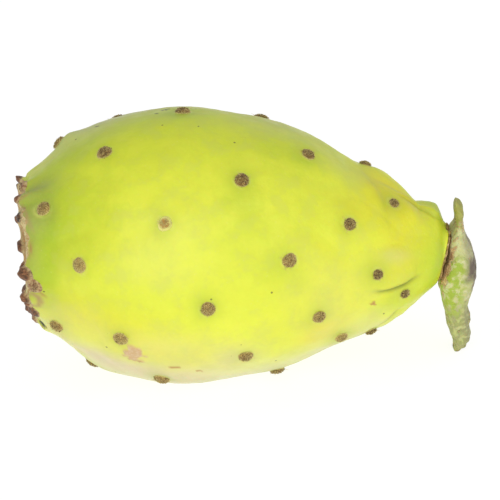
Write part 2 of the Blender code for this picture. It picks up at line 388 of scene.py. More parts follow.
@dataclass
class FruitForm:
    """The fruit's form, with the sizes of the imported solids."""

    cup_mm: Table = ((5.2, 0), (5.3, 4.5), (4.9, 8.2), (3.8, 9.9), (2.2, 11), (1.3, 12), (1.2, 13.1))
    flank_mm: Table = (
        (-2.5, 9.8), (-0.3, 12.6), (1.9, 14.2), (4.8, 16.6), (8, 19.2), (11.2, 21.4), (18, 25.2),
        (25.6, 27.2), (32, 27.8), (40, 27.1), (49.6, 25), (56, 22.6), (64, 18.6), (71, 15.2), (77.4, 11.3),
        (81, 9.1), (83, 8.1), (84, 6.9),
    )
    base_mm: Table = ((84.2, 6.2), (84.2, 3.2), (84.2, 0))
    flank_hidden: int = 2
    outline_steps: int = 90
    lift_mm: Table = ((0, 0.6), (9, 0.7), (20, 0.3), (48, 0), (68, -0.7), (79, -0.9), (84.6, -0.7))
    crown_radius: float = 13.4 * MM
    crest_station: float = 1.6 * MM
    crown_slant_deg: float = 8.0
    crown_low_side_deg: float = 35.0
    crown_slant_reach: float = 15.0 * MM
    base_slant_deg: float = 12.5
    base_slant_reach: float = 9.0 * MM
    crest_reach_mm: Table = (
        (-84, 0), (-66, -0.9), (-54, -1.6), (-40, -1.5), (-25, -1.7), (-8, -1.9), (4, -2.6), (12, -2.4),
        (20, -2.3), (30, -1.8), (45, -0.5), (60, 0.1), (75, 0.3), (95, 0),
    )
    crest_fade: float = 2.3 * MM
    shoulders: tuple[Shoulder, ...] = (
        Shoulder(
            angle_deg=-95.0,
            reach_deg=38.0,
            change_mm=(
                (75.5, 0), (77.6, -0.6), (78.6, 0.4), (79.8, 1.2), (81.1, 1.3), (82, 0.5), (82.8, -1),
                (83.6, -2.8), (84.2, -3.6),
            ),
        ),
        Shoulder(
            angle_deg=80.0,
            reach_deg=45.0,
            change_mm=((71.5, -0.1), (75, 0.65), (77.6, 0.9), (80.2, 0.5), (83, -0.5), (84.2, -1.2)),
        ),
    )
    tip_deg: float = 6.0
    start: tuple[float, float, float] = (-44.505 * MM, -0.02 * MM, 30.595 * MM)
    floor_softness: float = 0.08 * MM
    margin: float = 0.01 * MM
    swelling_size: tuple[float, float] = (8.5 * MM, 6.5 * MM)
    swelling_backset: float = 2.0 * MM
    swelling_power: int = 8
    swelling_roundness: float = 0.7
    swelling_heights_mm: Table = (
        (0, 1), (12, 0.8), (22, 0.25), (50, 0.25), (64, 0.7), (75, 1.1), (81, 0.5), (84, 0),
    )
    areole_radius: float = 1.5 * MM
    neck_areole_radius: float = 1.15 * MM
    neck_zone: tuple[float, float] = (50.0 * MM, 72.0 * MM)

    def __post_init__(self) -> None:
        """Works out the outline, the areoles, the nubs and the corners of the solids' box."""
        outline = self.cup_mm + self.flank_mm[self.flank_hidden :] + self.base_mm
        self.path = rounded_path(outline, self.outline_steps) * MM
        steps = np.linalg.norm(np.diff(self.path, axis=0), axis=1)
        self.run = np.concatenate([[0], np.cumsum(steps)])
        self.slope = unit(np.gradient(self.path, self.run, axis=0))
        self.length = self.base_mm[-1][0] * MM
        self.end_radius = self.flank_mm[-1][1] * MM
        flank = self.path[self.path[:, 0].argmin() :]
        self.flank = flank[flank[:, 1] >= self.end_radius]
        crest_gap = np.hypot(self.path[:, 0] - self.crest_station, self.path[:, 1] - self.crown_radius)
        self.crest_run = float(self.run[np.argmin(crest_gap)])
        spiral = Spiral()
        self.areoles = tuple(self.areole(spiral, index) for index in range(spiral.first, spiral.last + 1))
        self.nubs = tuple(Nub.from_row(row) for row in CROWN_NUBS)
        boxes = np.array([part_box("fruit"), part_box("pad_heel")])
        self.low_corner, self.high_corner = boxes[:, 0].min(axis=0), boxes[:, 1].max(axis=0)

    def areole(self, spiral: Spiral, index: int) -> Areole:
        """Places one areole by the spiral, its own shift and its own size.

        Args:
            spiral: The growth spiral.
            index: The areole's number on it.

        Returns:
            The areole, which is smaller the nearer it stands to the neck.
        """
        along, turned = AREOLE_SHIFTS.get(index, (0.0, 0.0))
        station = spiral.station(index) + along * MM
        angle = spiral.angle(index) + math.radians(turned)
        radius = float(np.interp(station, self.neck_zone, (self.areole_radius, self.neck_areole_radius)))
        radius *= AREOLE_SIZES.get(index, 1.0)
        return Areole(index, station, angle, radius, FELTS.get(index, Felt.BROWN))

    def run_at(self, station: Array) -> Array:
        """The distance along the outline, in metres, at a station on the flank."""
        past_crest = self.run >= self.crest_run
        return np.interp(station, self.path[past_crest, 0], self.run[past_crest])

    def station_at(self, run: Array) -> Array:
        """The station at a distance along the outline, which is the crest's all over the cup."""
        return np.where(run < self.crest_run, self.crest_station, np.interp(run, self.run, self.path[:, 0]))

    def radius_at(self, station: Array) -> Array:
        """The turned fruit's radius on its flank."""
        return np.interp(station, self.flank[:, 0], self.flank[:, 1])

    def grown(self, points: Array, station: Array) -> Array:
        """Slants the ends of the straight turned fruit and bows it.

        Formula: a point slides along the axis by the tangent of each end's slant times its height
        towards that end's low side, fading away from the end as a bell. Its radius changes as the
        flank's does over that slide. Then the middle line's lift is added.

        Args:
            points: Points of the straight fruit.
            station: The station of each point.

        Returns:
            The points of the grown fruit.
        """
        low_side = math.radians(self.crown_low_side_deg)
        towards = -math.cos(low_side) * points[..., 1] - math.sin(low_side) * points[..., 2]
        crown = math.tan(math.radians(self.crown_slant_deg)) * bell(station, self.crown_slant_reach)
        base = (
            math.tan(math.radians(self.base_slant_deg)) * bell(self.length - station, self.base_slant_reach)
        )
        slide = crown * towards + base * points[..., 2]
        spread = self.radius_at(station + slide) / self.radius_at(station)
        lift = read_mm(self.lift_mm, station)
        x, y, z = np.moveaxis(points, -1, 0)
        return np.stack([x + slide, y * spread, z * spread + lift], -1)

    def lie_down(self, points: Array) -> Array:
        """Tips points about Y, as the fruit lies, and moves them to their place in the frame.

        Args:
            points: Points about the fruit's own axis.

        Returns:
            The points in the frame.
        """
        tip = math.radians(self.tip_deg)
        x, y, z = np.moveaxis(points, -1, 0)
        tipped = np.stack(
            [x * math.cos(tip) + z * math.sin(tip), y, z * math.cos(tip) - x * math.sin(tip)], -1
        )
        return tipped + np.array(self.start)

    def turned(self, directions: Array) -> Array:
        """Tips directions about Y, as the fruit lies."""
        return self.lie_down(directions) - self.lie_down(np.zeros(3))

    def press_on_floor(self, points: Array) -> Array:
        """Flattens what would reach below the floor.

        Formula: height z becomes half of z plus the root of z squared plus softness squared, which
        is z well above the floor and nearly 0 below it.

        Args:
            points: Points in the frame.

        Returns:
            The points, none of them below the floor.
        """
        z = points[..., 2]
        pressed = (z + np.sqrt(z**2 + self.floor_softness**2)) / 2
        return np.concatenate([points[..., :2], pressed[..., None]], -1)

    def keep_in(self, points: Array) -> Array:
        """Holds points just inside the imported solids' box."""
        return np.clip(points, self.low_corner + self.margin, self.high_corner - self.margin)

    def place(self, run: Array, angle: Array, rise: Array | float = 0.0) -> Array:
        """Points on the fruit's skin as it lies.

        Formula: the outline's point at that distance along it, moved out along the outline's normal
        by the rise, and swung round the axis to the angle; then grown and laid down.

        Args:
            run: Distance along the outline from the middle of the cup.
            angle: Angle round the axis.
            rise: Height above the smooth outline.

        Returns:
            The points, in the frame.
        """
        station, radius = (np.interp(run, self.run, self.path[:, k]) for k in range(2))
        along, outwards = (np.interp(run, self.run, self.slope[:, k]) for k in range(2))
        station_out = station - outwards * rise
        radius_out = radius + along * rise
        degrees = np.degrees(turn_between(angle, 0.0))
        reach = read_mm(self.crest_reach_mm, degrees * MM) * bell(run - self.crest_run, self.crest_fade)
        narrowed = sum(shoulder.change(station, angle) for shoulder in self.shoulders)
        radius_out = radius_out + narrowed * np.minimum(radius / self.end_radius, 1)
        straight = np.stack(
            [station_out + reach, -np.cos(angle) * radius_out, -np.sin(angle) * radius_out], -1
        )
        return self.lie_down(self.grown(straight, self.station_at(run)))

    def swelling(self, station: Array, angle: Array) -> Array:
        """Height of the rounded swellings that carry the areoles.

        Formula: each swelling falls from 1 just behind its areole to 0 at its edge, in proportion
        to the distance; the eighth powers of all of them are added, the eighth root taken, and the
        sum rounded off at its top and foot and scaled by the zone's height.

        Args:
            station: Stations of the points.
            angle: Their angles.

        Returns:
            The height at each point, in metres.
        """
        total = np.zeros(np.broadcast(station, angle).shape)
        for areole in self.areoles:
            along = (station - areole.station - self.swelling_backset) / self.swelling_size[0]
            around = (
                turn_between(angle, areole.angle) * self.radius_at(areole.station) / self.swelling_size[1]
            )
            total += np.clip(1 - np.hypot(along, around), 0, 1) ** self.swelling_power
        rounded = ease(total ** (self.swelling_roundness / self.swelling_power), 0, 1)
        return rounded * read_mm(self.swelling_heights_mm, station)

    def gap_to(self, areole: Areole, run: Array, angle: Array) -> tuple[Array, Array]:
        """How far points lie from an areole, along the outline and round it, in metres."""
        along = run - self.run_at(areole.station)
        around = turn_between(angle, areole.angle) * self.radius_at(areole.station)
        return along, around


class RaisedSide(Enum):
    """Which side of a fold stands higher: towards smaller or larger angles for a line that
    runs towards the base."""

    ABOVE = 1.0
    BELOW = -1.0


@dataclass(frozen=True)
class Fold:
    """A fold of the skin along a line of stations in mm and angles in degrees."""

    line: Table
    side: RaisedSide
    height: float
    reach: float
    groove: float
    groove_width: float
    shade: float
    end_share: float = 0.02
    fade_power: float = 0.6

    def distance(self, form: FruitForm, station: Array, angle: Array) -> tuple[Array, Array]:
        """Signed distance from the fold's line, and how far along it.

        Formula: on the unrolled skin, the distance to the nearest of the line's segments, with the
        sign of the cross product of the segment and the way to the point.

        Args:
            form: The fruit's form.
            station: Stations of the points.
            angle: Their angles.

        Returns:
            The distances, above 0 on the raised side, and the shares of the way along the line.
        """
        stations, degrees = columns(self.line)
        stations = stations * MM
        angles = np.radians(degrees)
        middle = angles.mean()
        width = form.radius_at(station)
        point = np.stack([station, turn_between(angle, middle) * width], -1)
        knots = np.stack([stations, (angles - middle) * form.radius_at(stations)], -1)
        best = np.full(station.shape, np.inf)
        signed = np.zeros(station.shape)
        share = np.zeros(station.shape)
        count = len(knots) - 1
        for index, (start, end) in enumerate(zip(knots[:-1], knots[1:])):
            way = end - start
            along = np.clip(((point - start) @ way) / (way @ way), 0, 1)
            off = point - start - along[..., None] * way
            far = np.linalg.norm(off, axis=-1)
            cross = way[0] * (point[..., 1] - start[1]) - way[1] * (point[..., 0] - start[0])
            nearer = far < best
            best = np.where(nearer, far, best)
            signed = np.where(nearer, -np.sign(cross) * far, signed)
            share = np.where(nearer, (index + along) / count, share)
        return signed * self.side.value, share

    def relief(self, form: FruitForm, station: Array, angle: Array) -> tuple[Array, Array]:
        """The fold's height, and the shade in its groove.

        Formula: the raised side falls from the line as a bell, the other side dips as a narrow
        bell, and both fade out at the line's two ends.

        Args:
            form: The fruit's form.
            station: Stations of the points.
            angle: Their angles.

        Returns:
            The height in metres and the shade from 0 to 1 at each point.
        """
        signed, share = self.distance(form, station, angle)
        fade = np.sin(math.pi * np.clip(share, self.end_share, 1 - self.end_share)) ** self.fade_power
        far = np.abs(signed)
        raised = (
            self.height * bell(far, self.reach) * ease(signed, -0.5 * self.groove_width, self.groove_width)
        )
        groove = bell(far, self.groove_width) * fade
        return raised * fade - self.groove * groove, self.shade * groove


# Folds of the neck; each one's shade is painted shade along its groove
NECK_FOLDS = (
    Fold(
        line=((69.8, 11.5), (71.2, 13.4), (73, 13.6), (74.8, 12.7), (76.1, 12), (77.2, 10.3), (78.8, 8.4)),
        side=RaisedSide.ABOVE, height=0.75 * MM, reach=3.2 * MM,
        groove=0.5 * MM, groove_width=0.55 * MM, shade=0.9,
    ),
    Fold(
        line=((67.8, 57), (69.6, 54), (71.2, 52.5), (72.9, 50), (74.6, 47.5), (75.9, 43)),
        side=RaisedSide.ABOVE, height=0.75 * MM, reach=2.4 * MM,
        groove=0.5 * MM, groove_width=0.6 * MM, shade=0.8,
    ),
    Fold(
        line=(
            (65.8, -106), (67.4, -92.5), (69, -76.5), (70.3, -67.2), (71.2, -54.5), (71.8, -45.2),
            (72.5, -34),
        ),
        side=RaisedSide.BELOW, height=0.5 * MM, reach=3.0 * MM,
        groove=0.08 * MM, groove_width=1.3 * MM, shade=0.1,
    ),
    Fold(
        line=((73.4, -74), (75.3, -72.5), (77.4, -73), (79, -70), (80.6, -66), (82.3, -70)),
        side=RaisedSide.ABOVE, height=0.85 * MM, reach=2.6 * MM,
        groove=0.25 * MM, groove_width=0.6 * MM, shade=0.35,
    ),
    Fold(
        line=((70.5, 150), (72.5, 152), (74.8, 149), (77, 143), (78.6, 138)),
        side=RaisedSide.ABOVE, height=0.6 * MM, reach=3.0 * MM,
        groove=0.4 * MM, groove_width=0.6 * MM, shade=0.7,
    ),
    Fold(
        line=((68, 196), (70.2, 205), (72, 214), (73.2, 224)),
        side=RaisedSide.BELOW, height=0.5 * MM, reach=3.0 * MM,
        groove=0.2 * MM, groove_width=0.8 * MM, shade=0.25,
    ),
)


@dataclass(frozen=True)
class Patch:
    """A soft patch: its middle in mm and degrees, its reach along and round, its strength."""

    station_mm: float
    angle_deg: float
    along_mm: float
    around_mm: float
    strength: float

    def on(self, form: FruitForm, station: Array, angle: Array) -> Array:
        """The patch's strength at each point, falling from its middle as a bell."""
        along = (station - self.station_mm * MM) / (self.along_mm * MM)
        around = turn_between(angle, math.radians(self.angle_deg)) * form.radius_at(self.station_mm * MM)
        return self.strength * np.exp(-(along**2) - (around / (self.around_mm * MM)) ** 2)


@dataclass(frozen=True)
class Spot:
    """A small ragged mark on the skin, with its own colour and rise."""

    patch: Patch
    colour: str
    rise: float
    grain: float
    seed: int
    raggedness: float = 0.3
    edge: tuple[float, float] = (0.4, 0.75)
    least: float = 0.12

    def on(self, form: FruitForm, station: Array, angle: Array, places: Array) -> Array:
        """How strong the mark is: its patch with a ragged edge made by random waves.

        Args:
            form: The fruit's form.
            station: Stations of the points.
            angle: Their angles.
            places: The points themselves, for the waves.

        Returns:
            The strength at each point, from 0 to 1.
        """
        patch = self.patch.on(form, station, angle)
        ragged = patch + self.raggedness * waves(places, self.grain, self.seed)
        return ease(ragged, *self.edge) * (patch > self.least)


def patches(*rows: tuple[float, ...]) -> tuple[Patch, ...]:
    """Patches from rows of their five numbers."""
    return tuple(Patch(*row) for row in rows)


# What is painted on the skin, by the name of its colour
SKIN_PATCHES = {
    "lime": patches(
        (4, -22, 11, 16, 0.75), (22, -88, 24, 16, 0.9), (50, -86, 16, 12, 0.7), (46, -26, 7, 6, 0.4),
        (66, -5, 8, 8, 0.35), (80, 5, 6, 10, 0.5), (28, 170, 26, 30, 0.7), (60, 150, 14, 14, 0.5),
    ),
    # Darker green: mostly the skin's own, but the patches at (73.5, 26) in a fold and at (83, 14) along the
    # base's edge are painted shade
    "leaf_and_shade": patches(
        (3, -58, 6, 8, 0.75), (3, -28, 3, 6, 0.6), (3, 4, 2.2, 4.5, 0.8), (2.9, 23, 1.5, 1.8, 1),
        (5, 18, 3, 3, 0.4), (73.5, 26, 3, 4, 0.4), (79.5, -14, 4, 7, 0.2), (83, 14, 1.2, 7, 0.6),
        (8, -32, 9, 6, 0.35), (11, -78, 7, 6, 0.5), (30, -88, 14, 5, 0.4), (31, -90, 3, 2.6, 0.7),
        (54.8, -3, 2.5, 3, 0.3), (55.5, -68, 3, 3, 0.4), (43, -40, 4, 4, 0.4), (50, -70, 4, 4, 0.3),
        (50, -8, 4, 4, 0.3), (58.6, 8, 4, 4, 0.2), (80.5, -98, 3.5, 5, 0.7), (82, -15, 3, 8, 0.25),
        (16, 150, 12, 14, 0.5), (44, 176, 12, 12, 0.4), (62, 130, 8, 8, 0.4),
    ),
    "gold": patches(
        (59.6, 34, 4, 3.6, 1), (72.6, -72, 5, 6, 1.3), (65.5, -43, 4, 4, 0.45), (75.5, -36, 5, 5, 0.45),
        (18, 24, 12, 6, 0.5), (30, 34, 12, 6, 0.55), (8, 24, 6, 6, 0.3), (74, -8, 4, 5, 0.4),
        (62, 14, 12, 12, 0.35), (50, 130, 14, 9, 0.5), (72, 190, 6, 8, 0.5),
    ),
    # Wax bloom, and along the lower edge, on the underside and in a few pale streaks painted reflection of
    # the pale floor and surroundings
    "bloom_and_reflection": patches(
        (22, 62, 16, 9, 0.85), (28, 28, 14, 4.5, 0.3), (10, 30, 6, 5, 0.15), (67, 38, 6, 3, 0.3),
        (46, 64, 16, 9, 0.75), (64, 60, 8, 5, 0.6), (25, -8, 9, 5, 0.12), (62, 8, 12, 9, 0.16),
        (28, -26, 9, 7, 0.1), (40, -90, 16, 8, 0.15), (60, 24, 3, 6, 0.15), (76.6, -66, 3, 2, 0.15),
        (71.8, 49, 3, 1.5, 0.4), (74, -14, 3.5, 1.6, 0.3), (36, 92, 30, 12, 0.6),
    ),
    "blush": patches(
        (13.5, 53, 6, 4, 0.9), (22, 50, 6, 3.5, 0.55), (4, 42, 4, 5, 0.4), (31, 52, 9, 5, 0.75),
        (42.5, 37, 5, 4, 0.5),
    ),
    "olive": patches(
        (1.7, -12, 1.1, 6, 0.5), (2.6, -37, 2, 3, 0.6), (3.2, -62, 3, 3.5, 0.6), (5, -38, 2, 2, 0.3),
    ),
    "grey": patches(
        (13, -106, 11, 7, 0.8), (30, -112, 14, 8, 0.6), (52, -100, 10, 7, 0.5), (64, -76, 5, 4, 0.3),
    ),
}

# Small marks: patch, colour, height, grain of the ragged edge, and seed
SPOTS = (
    Spot(Patch(21.7, 35, 1.9, 2.3, 1.6), "scar", 0.3 * MM, 1.7 * MM, 8),
    Spot(Patch(22.1, 41, 1.6, 0.5, 1), "rust", 0.05 * MM, 1.2 * MM, 18),
    Spot(Patch(30, 42, 1.5, 0.35, 1.2), "rust", 0.05 * MM, 0.8 * MM, 9),
    Spot(Patch(35.3, 46, 1.2, 0.35, 1.1), "rust", 0, 0.8 * MM, 10),
    # Painted shadow in a small hole under a tubercle of the crown
    Spot(Patch(2.4, 55.5, 0.85, 1.3, 1.5), "hole", -0.45 * MM, 1.0 * MM, 23),
    Spot(Patch(69.9, 23.5, 0.55, 0.7, 1.2), "rust", 0.1 * MM, 0.6 * MM, 13),
    Spot(Patch(29, -97, 1.3, 0.5, 1.2), "dark", 0, 0.5 * MM, 14),
    Spot(Patch(26.6, -92, 0.7, 0.3, 1.1), "dark", 0, 0.5 * MM, 15),
    Spot(Patch(15.6, -98, 0.6, 0.35, 1), "dark", 0, 0.5 * MM, 16),
    Spot(Patch(55, 158, 1.6, 1.1, 1.2), "scar", 0.2 * MM, 1.4 * MM, 19),
    Spot(Patch(33, -150, 1, 1.8, 1.2), "scar", 0.15 * MM, 1.3 * MM, 20),
)
# On the crown, stations count from the crest, and strengths are heights in mm
CROWN_LUMPS = patches(
    (1.9, -57, 2.4, 1.2, 0.75), (1.3, 23, 1, 1.2, 0.6), (1.4, -33, 1.6, 1.6, 0.35), (1.2, -12, 1.6, 2, 0.3),
    (2.2, 61, 2.4, 2.2, 0.95), (12.4, -105, 2.2, 3, 0.9),
)
# Broad highs and lows of the skin, whose strengths are heights in mm
SKIN_LUMPS = patches(
    (4.5, -108, 5, 8, -0.3), (26, -108, 9, 9, -0.4), (43, -108, 7, 8, -0.2), (58.5, -108, 5, 8, 0.55),
    (66.5, -106, 3, 6, -0.5), (70.6, -107, 2.4, 6, 0.25), (76.3, -108, 2.6, 6, -0.35),
    (75.2, 70, 2.4, 5, -0.35), (76.5, -57, 2.4, 2.6, 0.35), (76, -4, 2.5, 3, 0.3), (12, 72, 7, 9, 0.55),
    (29, 72, 7, 8, 0.4), (51, 72, 4, 6, 0.25), (63, 68, 4, 6, 0.3),
)
# How far the crown's cork reaches out over its crest: degrees and mm
CORK_REACH_MM = (
    (-180, 0.8), (-100, 0.5), (-70, 0.5), (-57, 0.15), (-48, 0.5), (-38, 1), (-28, 0.8), (-12, 0.4),
    (-4, 0.4), (4, 0.7), (14, 1.5), (20, 0.8), (28, 1), (40, 0.9), (60, 0.5), (180, 0.8),
)


def crown_line(line: Table, groove_mm: float, width_mm: float, shade: float) -> Fold:
    """A thin line of the crown, which is a groove, or a low ridge where its depth is below 0."""
    return Fold(line, RaisedSide.ABOVE, 0.0, 1.0 * MM, groove_mm * MM, width_mm * MM, shade)


# Thin corky lines of the crown, again with stations that count from its crest
CROWN_SEAMS = {
    "seam": (
        crown_line(((0.3, -53.5), (1.1, -55), (2.3, -57)), -0.1, 0.24, 0.95),
        crown_line(((0.3, -52.5), (0.9, -46), (1.1, -42.3), (1.4, -34), (1.6, -27)), -0.1, 0.24, 0.95),
        crown_line(
            (
                (0.4, 22), (0.7, 19.6), (1.3, 18.4), (1.9, 19.6), (2.2, 23), (1.9, 26.4), (1.3, 27.6),
                (0.7, 26.6),
            ),
            groove_mm=-0.12, width_mm=0.36, shade=1.0,
        ),
    ),
    "crack": (
        crown_line(((1.1, -21.3), (0.95, -14.3), (0.5, -8)), 0.12, 0.22, 0.9),
        crown_line(((1.6, 15.4), (2.2, 16.8), (2.8, 20)), 0.08, 0.2, 0.9),
    ),
}


# Shaders


@dataclass(frozen=True)
class NodeWriter:
    """Adds and links the nodes of one material or node group."""

    # Where the mix node keeps its factor, its two colours and its result
    MIX_INPUTS = (0, 6, 7)
    MIX_OUTPUT = 2

    tree: Tree

    def add(self, kind: str, **settings: object) -> Node:
        """Adds a node of a kind, with its own settings."""
        node = self.tree.nodes.new(kind)
        for key, value in settings.items():
            setattr(node, key, value)
        return node

    def put(self, socket: Socket, value: object) -> None:
        """Gives a socket a value, or links another node's output to it."""
        if isinstance(value, Socket):
            self.tree.links.new(value, socket)
        else:
            socket.default_value = value

    def fill(self, node: Node, **values: object) -> None:
        """Puts values in a node's sockets, whose names have spaces for underscores."""
        for key, value in values.items():
            self.put(node.inputs[key.replace("_", " ")], value)

    def attribute(self, name: str) -> Socket:
        """The values painted on the mesh under a name."""
        return self.add("ShaderNodeAttribute", attribute_name=name).outputs["Fac"]

    def places(self) -> Socket:
        """Places on the object, in metres."""
        return self.add("ShaderNodeTexCoord").outputs["Object"]

    def noise(
        self, places: Socket, size: float, detail: float = 2.0, rough: float = 0.5, swirl: float = 0.0
    ) -> Socket:
        """Adds cloudy noise.

        Args:
            places: Where it is read.
            size: Width of its clouds, in metres.
            detail: Number of finer octaves.
            rough: Their strength.
            swirl: How far it is twisted.

        Returns:
            The noise, from 0 to 1.
        """
        node = self.add("ShaderNodeTexNoise", noise_dimensions="3D")
        self.fill(node, Vector=places, Scale=1 / size, Detail=detail, Roughness=rough, Distortion=swirl)
        return node.outputs["Fac"]

    def cells(self, places: Socket, size: float) -> Socket:
        """Distance to the nearest of scattered points that lie about that far apart."""
        node = self.add("ShaderNodeTexVoronoi", voronoi_dimensions="3D")
        self.fill(node, Vector=places, Scale=1 / size)
        return node.outputs["Distance"]

    def spread(
        self, value: Socket, low: float, high: float, to_low: float = 0.0, to_high: float = 1.0
    ) -> Socket:
        """Spreads part of a value's range smoothly over another, and holds it inside that.

        Args:
            value: The value.
            low: What becomes to_low.
            high: What becomes to_high.
            to_low: First end of the new range.
            to_high: Other end of the new range.

        Returns:
            The new value.
        """
        node = self.add("ShaderNodeMapRange", interpolation_type="SMOOTHSTEP")
        self.fill(node, Value=value, From_Min=low, From_Max=high, To_Min=to_low, To_Max=to_high)
        return node.outputs["Result"]

    def sum(self, operation: str, first: object, second: object) -> Socket:
        """A sum on two values, held between 0 and 1."""
        node = self.add("ShaderNodeMath", operation=operation, use_clamp=True)
        self.put(node.inputs[0], first)
        self.put(node.inputs[1], second)
        return node.outputs[0]

    def times(self, first: object, second: object) -> Socket:
        """The product of two values, held between 0 and 1."""
        return self.sum("MULTIPLY", first, second)

    def plus(self, first: object, second: object) -> Socket:
        """The sum of two values, held between 0 and 1."""
        return self.sum("ADD", first, second)

    def mix(self, factor: object, first: object, second: object) -> Socket:
        """Mixes two colours.

        Args:
            factor: Share of the second, from 0 to 1.
            first: A colour, or the socket that gives it.
            second: Another.

        Returns:
            The mixed colour.
        """
        node = self.add("ShaderNodeMix", data_type="RGBA")
        for index, value in zip(self.MIX_INPUTS, (factor, first, second)):
            self.put(node.inputs[index], value)
        return node.outputs[self.MIX_OUTPUT]

    def lay(self, colour: Socket, **shades: Colour) -> Socket:
        """Lays shades over a colour, each where the values painted under its name say."""
        for name, shade in shades.items():
            colour = self.mix(self.attribute(name), colour, linear(shade))
        return colour

    def ramp(self, factor: object, stops: tuple[tuple[float, Colour], ...]) -> Socket:
        """Reads a colour from a ramp.

        Args:
            factor: Where on the ramp it is read, from 0 to 1.
            stops: Places along the ramp, with their colours.

        Returns:
            The colour there.
        """
        node = self.add("ShaderNodeValToRGB")
        elements = node.color_ramp.elements
        elements[0].position, elements[0].color = stops[0][0], linear(stops[0][1])
        elements[1].position, elements[1].color = stops[-1][0], linear(stops[-1][1])
        for position, colour in stops[1:-1]:
            elements.new(position).color = linear(colour)
        self.put(node.inputs["Fac"], factor)
        return node.outputs["Color"]

    def bump(
        self, height: Socket, distance: float, strength: float = 1.0, over: Socket | None = None
    ) -> Socket:
        """Bends the surface's normal by a height.

        Args:
            height: The height, from 0 to 1.
            distance: How high 1 is, in metres.
            strength: How much of the bend is used.
            over: The normal of a bump below this one.

        Returns:
            The bent normal.
        """
        node = self.add("ShaderNodeBump")
        self.fill(node, Height=height, Distance=distance, Strength=strength)
        if over is not None:
            self.put(node.inputs["Normal"], over)
        return node.outputs["Normal"]

    def group(self, group: Tree, **values: object) -> Node:
        """Places a node group and fills its sockets."""
        node = self.add("ShaderNodeGroup", node_tree=group)
        self.fill(node, **values)
        return node


def new_group(name: str, inputs: Sockets, outputs: Sockets) -> tuple[NodeWriter, Ends, Ends]:
    """Starts a node group.

    Args:
        name: The group's name.
        inputs: Names and socket types of its inputs.
        outputs: Names and socket types of its outputs.

    Returns:
        The writer for its tree, its input node's outputs and its output node's inputs.
    """
    tree = bpy.data.node_groups.new(name, "ShaderNodeTree")
    for way, sockets in (("INPUT", inputs), ("OUTPUT", outputs)):
        for label, kind in sockets:
            tree.interface.new_socket(label, in_out=way, socket_type=kind)
    writer = NodeWriter(tree)
    return writer, writer.add("NodeGroupInput").outputs, writer.add("NodeGroupOutput").inputs


VECTOR, FLOAT, COLOUR = "NodeSocketVector", "NodeSocketFloat", "NodeSocketColor"


class Effects:
    """The node groups that several finishes share, each built once."""

    FINER_RATE = 5.0
    FINER_WEIGHT = 0.35
    MOTTLE_RANGE = (0.45, 0.9)
    SPECK_CHANCE = (0.72, 1.0)
    SPECK_RADIUS = 0.1
    SPECK_EDGE = 0.03
    CRACK_RANGE = (0.46, 0.5)

    def __init__(self) -> None:
        """Builds the groups."""
        self.mottle = self.build_mottle()
        self.specks = self.build_specks()
        self.cork = self.build_cork()

    @staticmethod
    def build_mottle() -> Tree:
        """Uneven growth: broad clouds with finer ones in them.

        Returns:
            The group, which gives a mask from places and the size of its clouds.
        """
        writer, inputs, outputs = new_group(
            "mottle", (("Places", VECTOR), ("Size", FLOAT)), (("Mask", FLOAT),)
        )
        broad, fine = (writer.add("ShaderNodeTexNoise") for _ in range(2))
        rate = writer.add("ShaderNodeMath", operation="DIVIDE")
        finer = writer.add("ShaderNodeMath", operation="MULTIPLY")
        both = writer.add("ShaderNodeMath", operation="MULTIPLY_ADD")
        writer.fill(broad, Vector=inputs["Places"], Detail=1.5, Scale=rate.outputs[0])
        writer.fill(fine, Vector=inputs["Places"], Detail=2.0, Scale=finer.outputs[0])
        for node, values in (
            (rate, (1.0, inputs["Size"])),
            (finer, (rate.outputs[0], Effects.FINER_RATE)),
            (both, (fine.outputs["Fac"], Effects.FINER_WEIGHT, broad.outputs["Fac"])),
        ):
            for socket, value in zip(node.inputs, values):
                writer.put(socket, value)
        writer.put(outputs["Mask"], writer.spread(both.outputs[0], *Effects.MOTTLE_RANGE))
        return writer.tree

    @staticmethod
    def build_specks() -> Tree:
        """Small round specks, scattered unevenly.

        Returns:
            The group, which gives a mask from places and how many specks fit in a metre.
        """
        writer, inputs, outputs = new_group(
            "specks", (("Places", VECTOR), ("Rate", FLOAT)), (("Mask", FLOAT),)
        )
        dots = writer.add("ShaderNodeTexVoronoi")
        chance = writer.add("ShaderNodeTexWhiteNoise")
        writer.fill(dots, Vector=inputs["Places"], Scale=inputs["Rate"])
        writer.fill(chance, Vector=dots.outputs["Position"])
        size = writer.spread(chance.outputs["Value"], *Effects.SPECK_CHANCE, 0.0, Effects.SPECK_RADIUS)
        inside = writer.add("ShaderNodeMath", operation="SUBTRACT")
        writer.put(inside.inputs[0], size)
        writer.put(inside.inputs[1], dots.outputs["Distance"])
        writer.put(outputs["Mask"], writer.spread(inside.outputs[0], 0.0, Effects.SPECK_EDGE))
        return writer.tree

    @staticmethod
    def build_cork() -> Tree:
        """Dry cork with wandering cracks.

        Returns:
            The group, which gives a colour between its two, and a height for its bump.
        """
        writer, inputs, outputs = new_group(
            "cork",
            (("Places", VECTOR), ("Light", COLOUR), ("Dark", COLOUR)),
            (("Color", COLOUR), ("Height", FLOAT)),
        )
        grain = writer.noise(inputs["Places"], 0.9 * MM, detail=5.0, rough=0.6, swirl=0.8)
        veins = writer.noise(inputs["Places"], 1.4 * MM, swirl=1.6)
        crack = writer.spread(writer.sum("PINGPONG", veins, 0.5), *Effects.CRACK_RANGE, 1.0, 0.5)
        tone = writer.times(writer.spread(grain, 0.3, 0.65, 0.15, 1.0), crack)
        writer.put(outputs["Color"], writer.mix(tone, inputs["Dark"], inputs["Light"]))
        writer.put(outputs["Height"], tone)
        return writer.tree


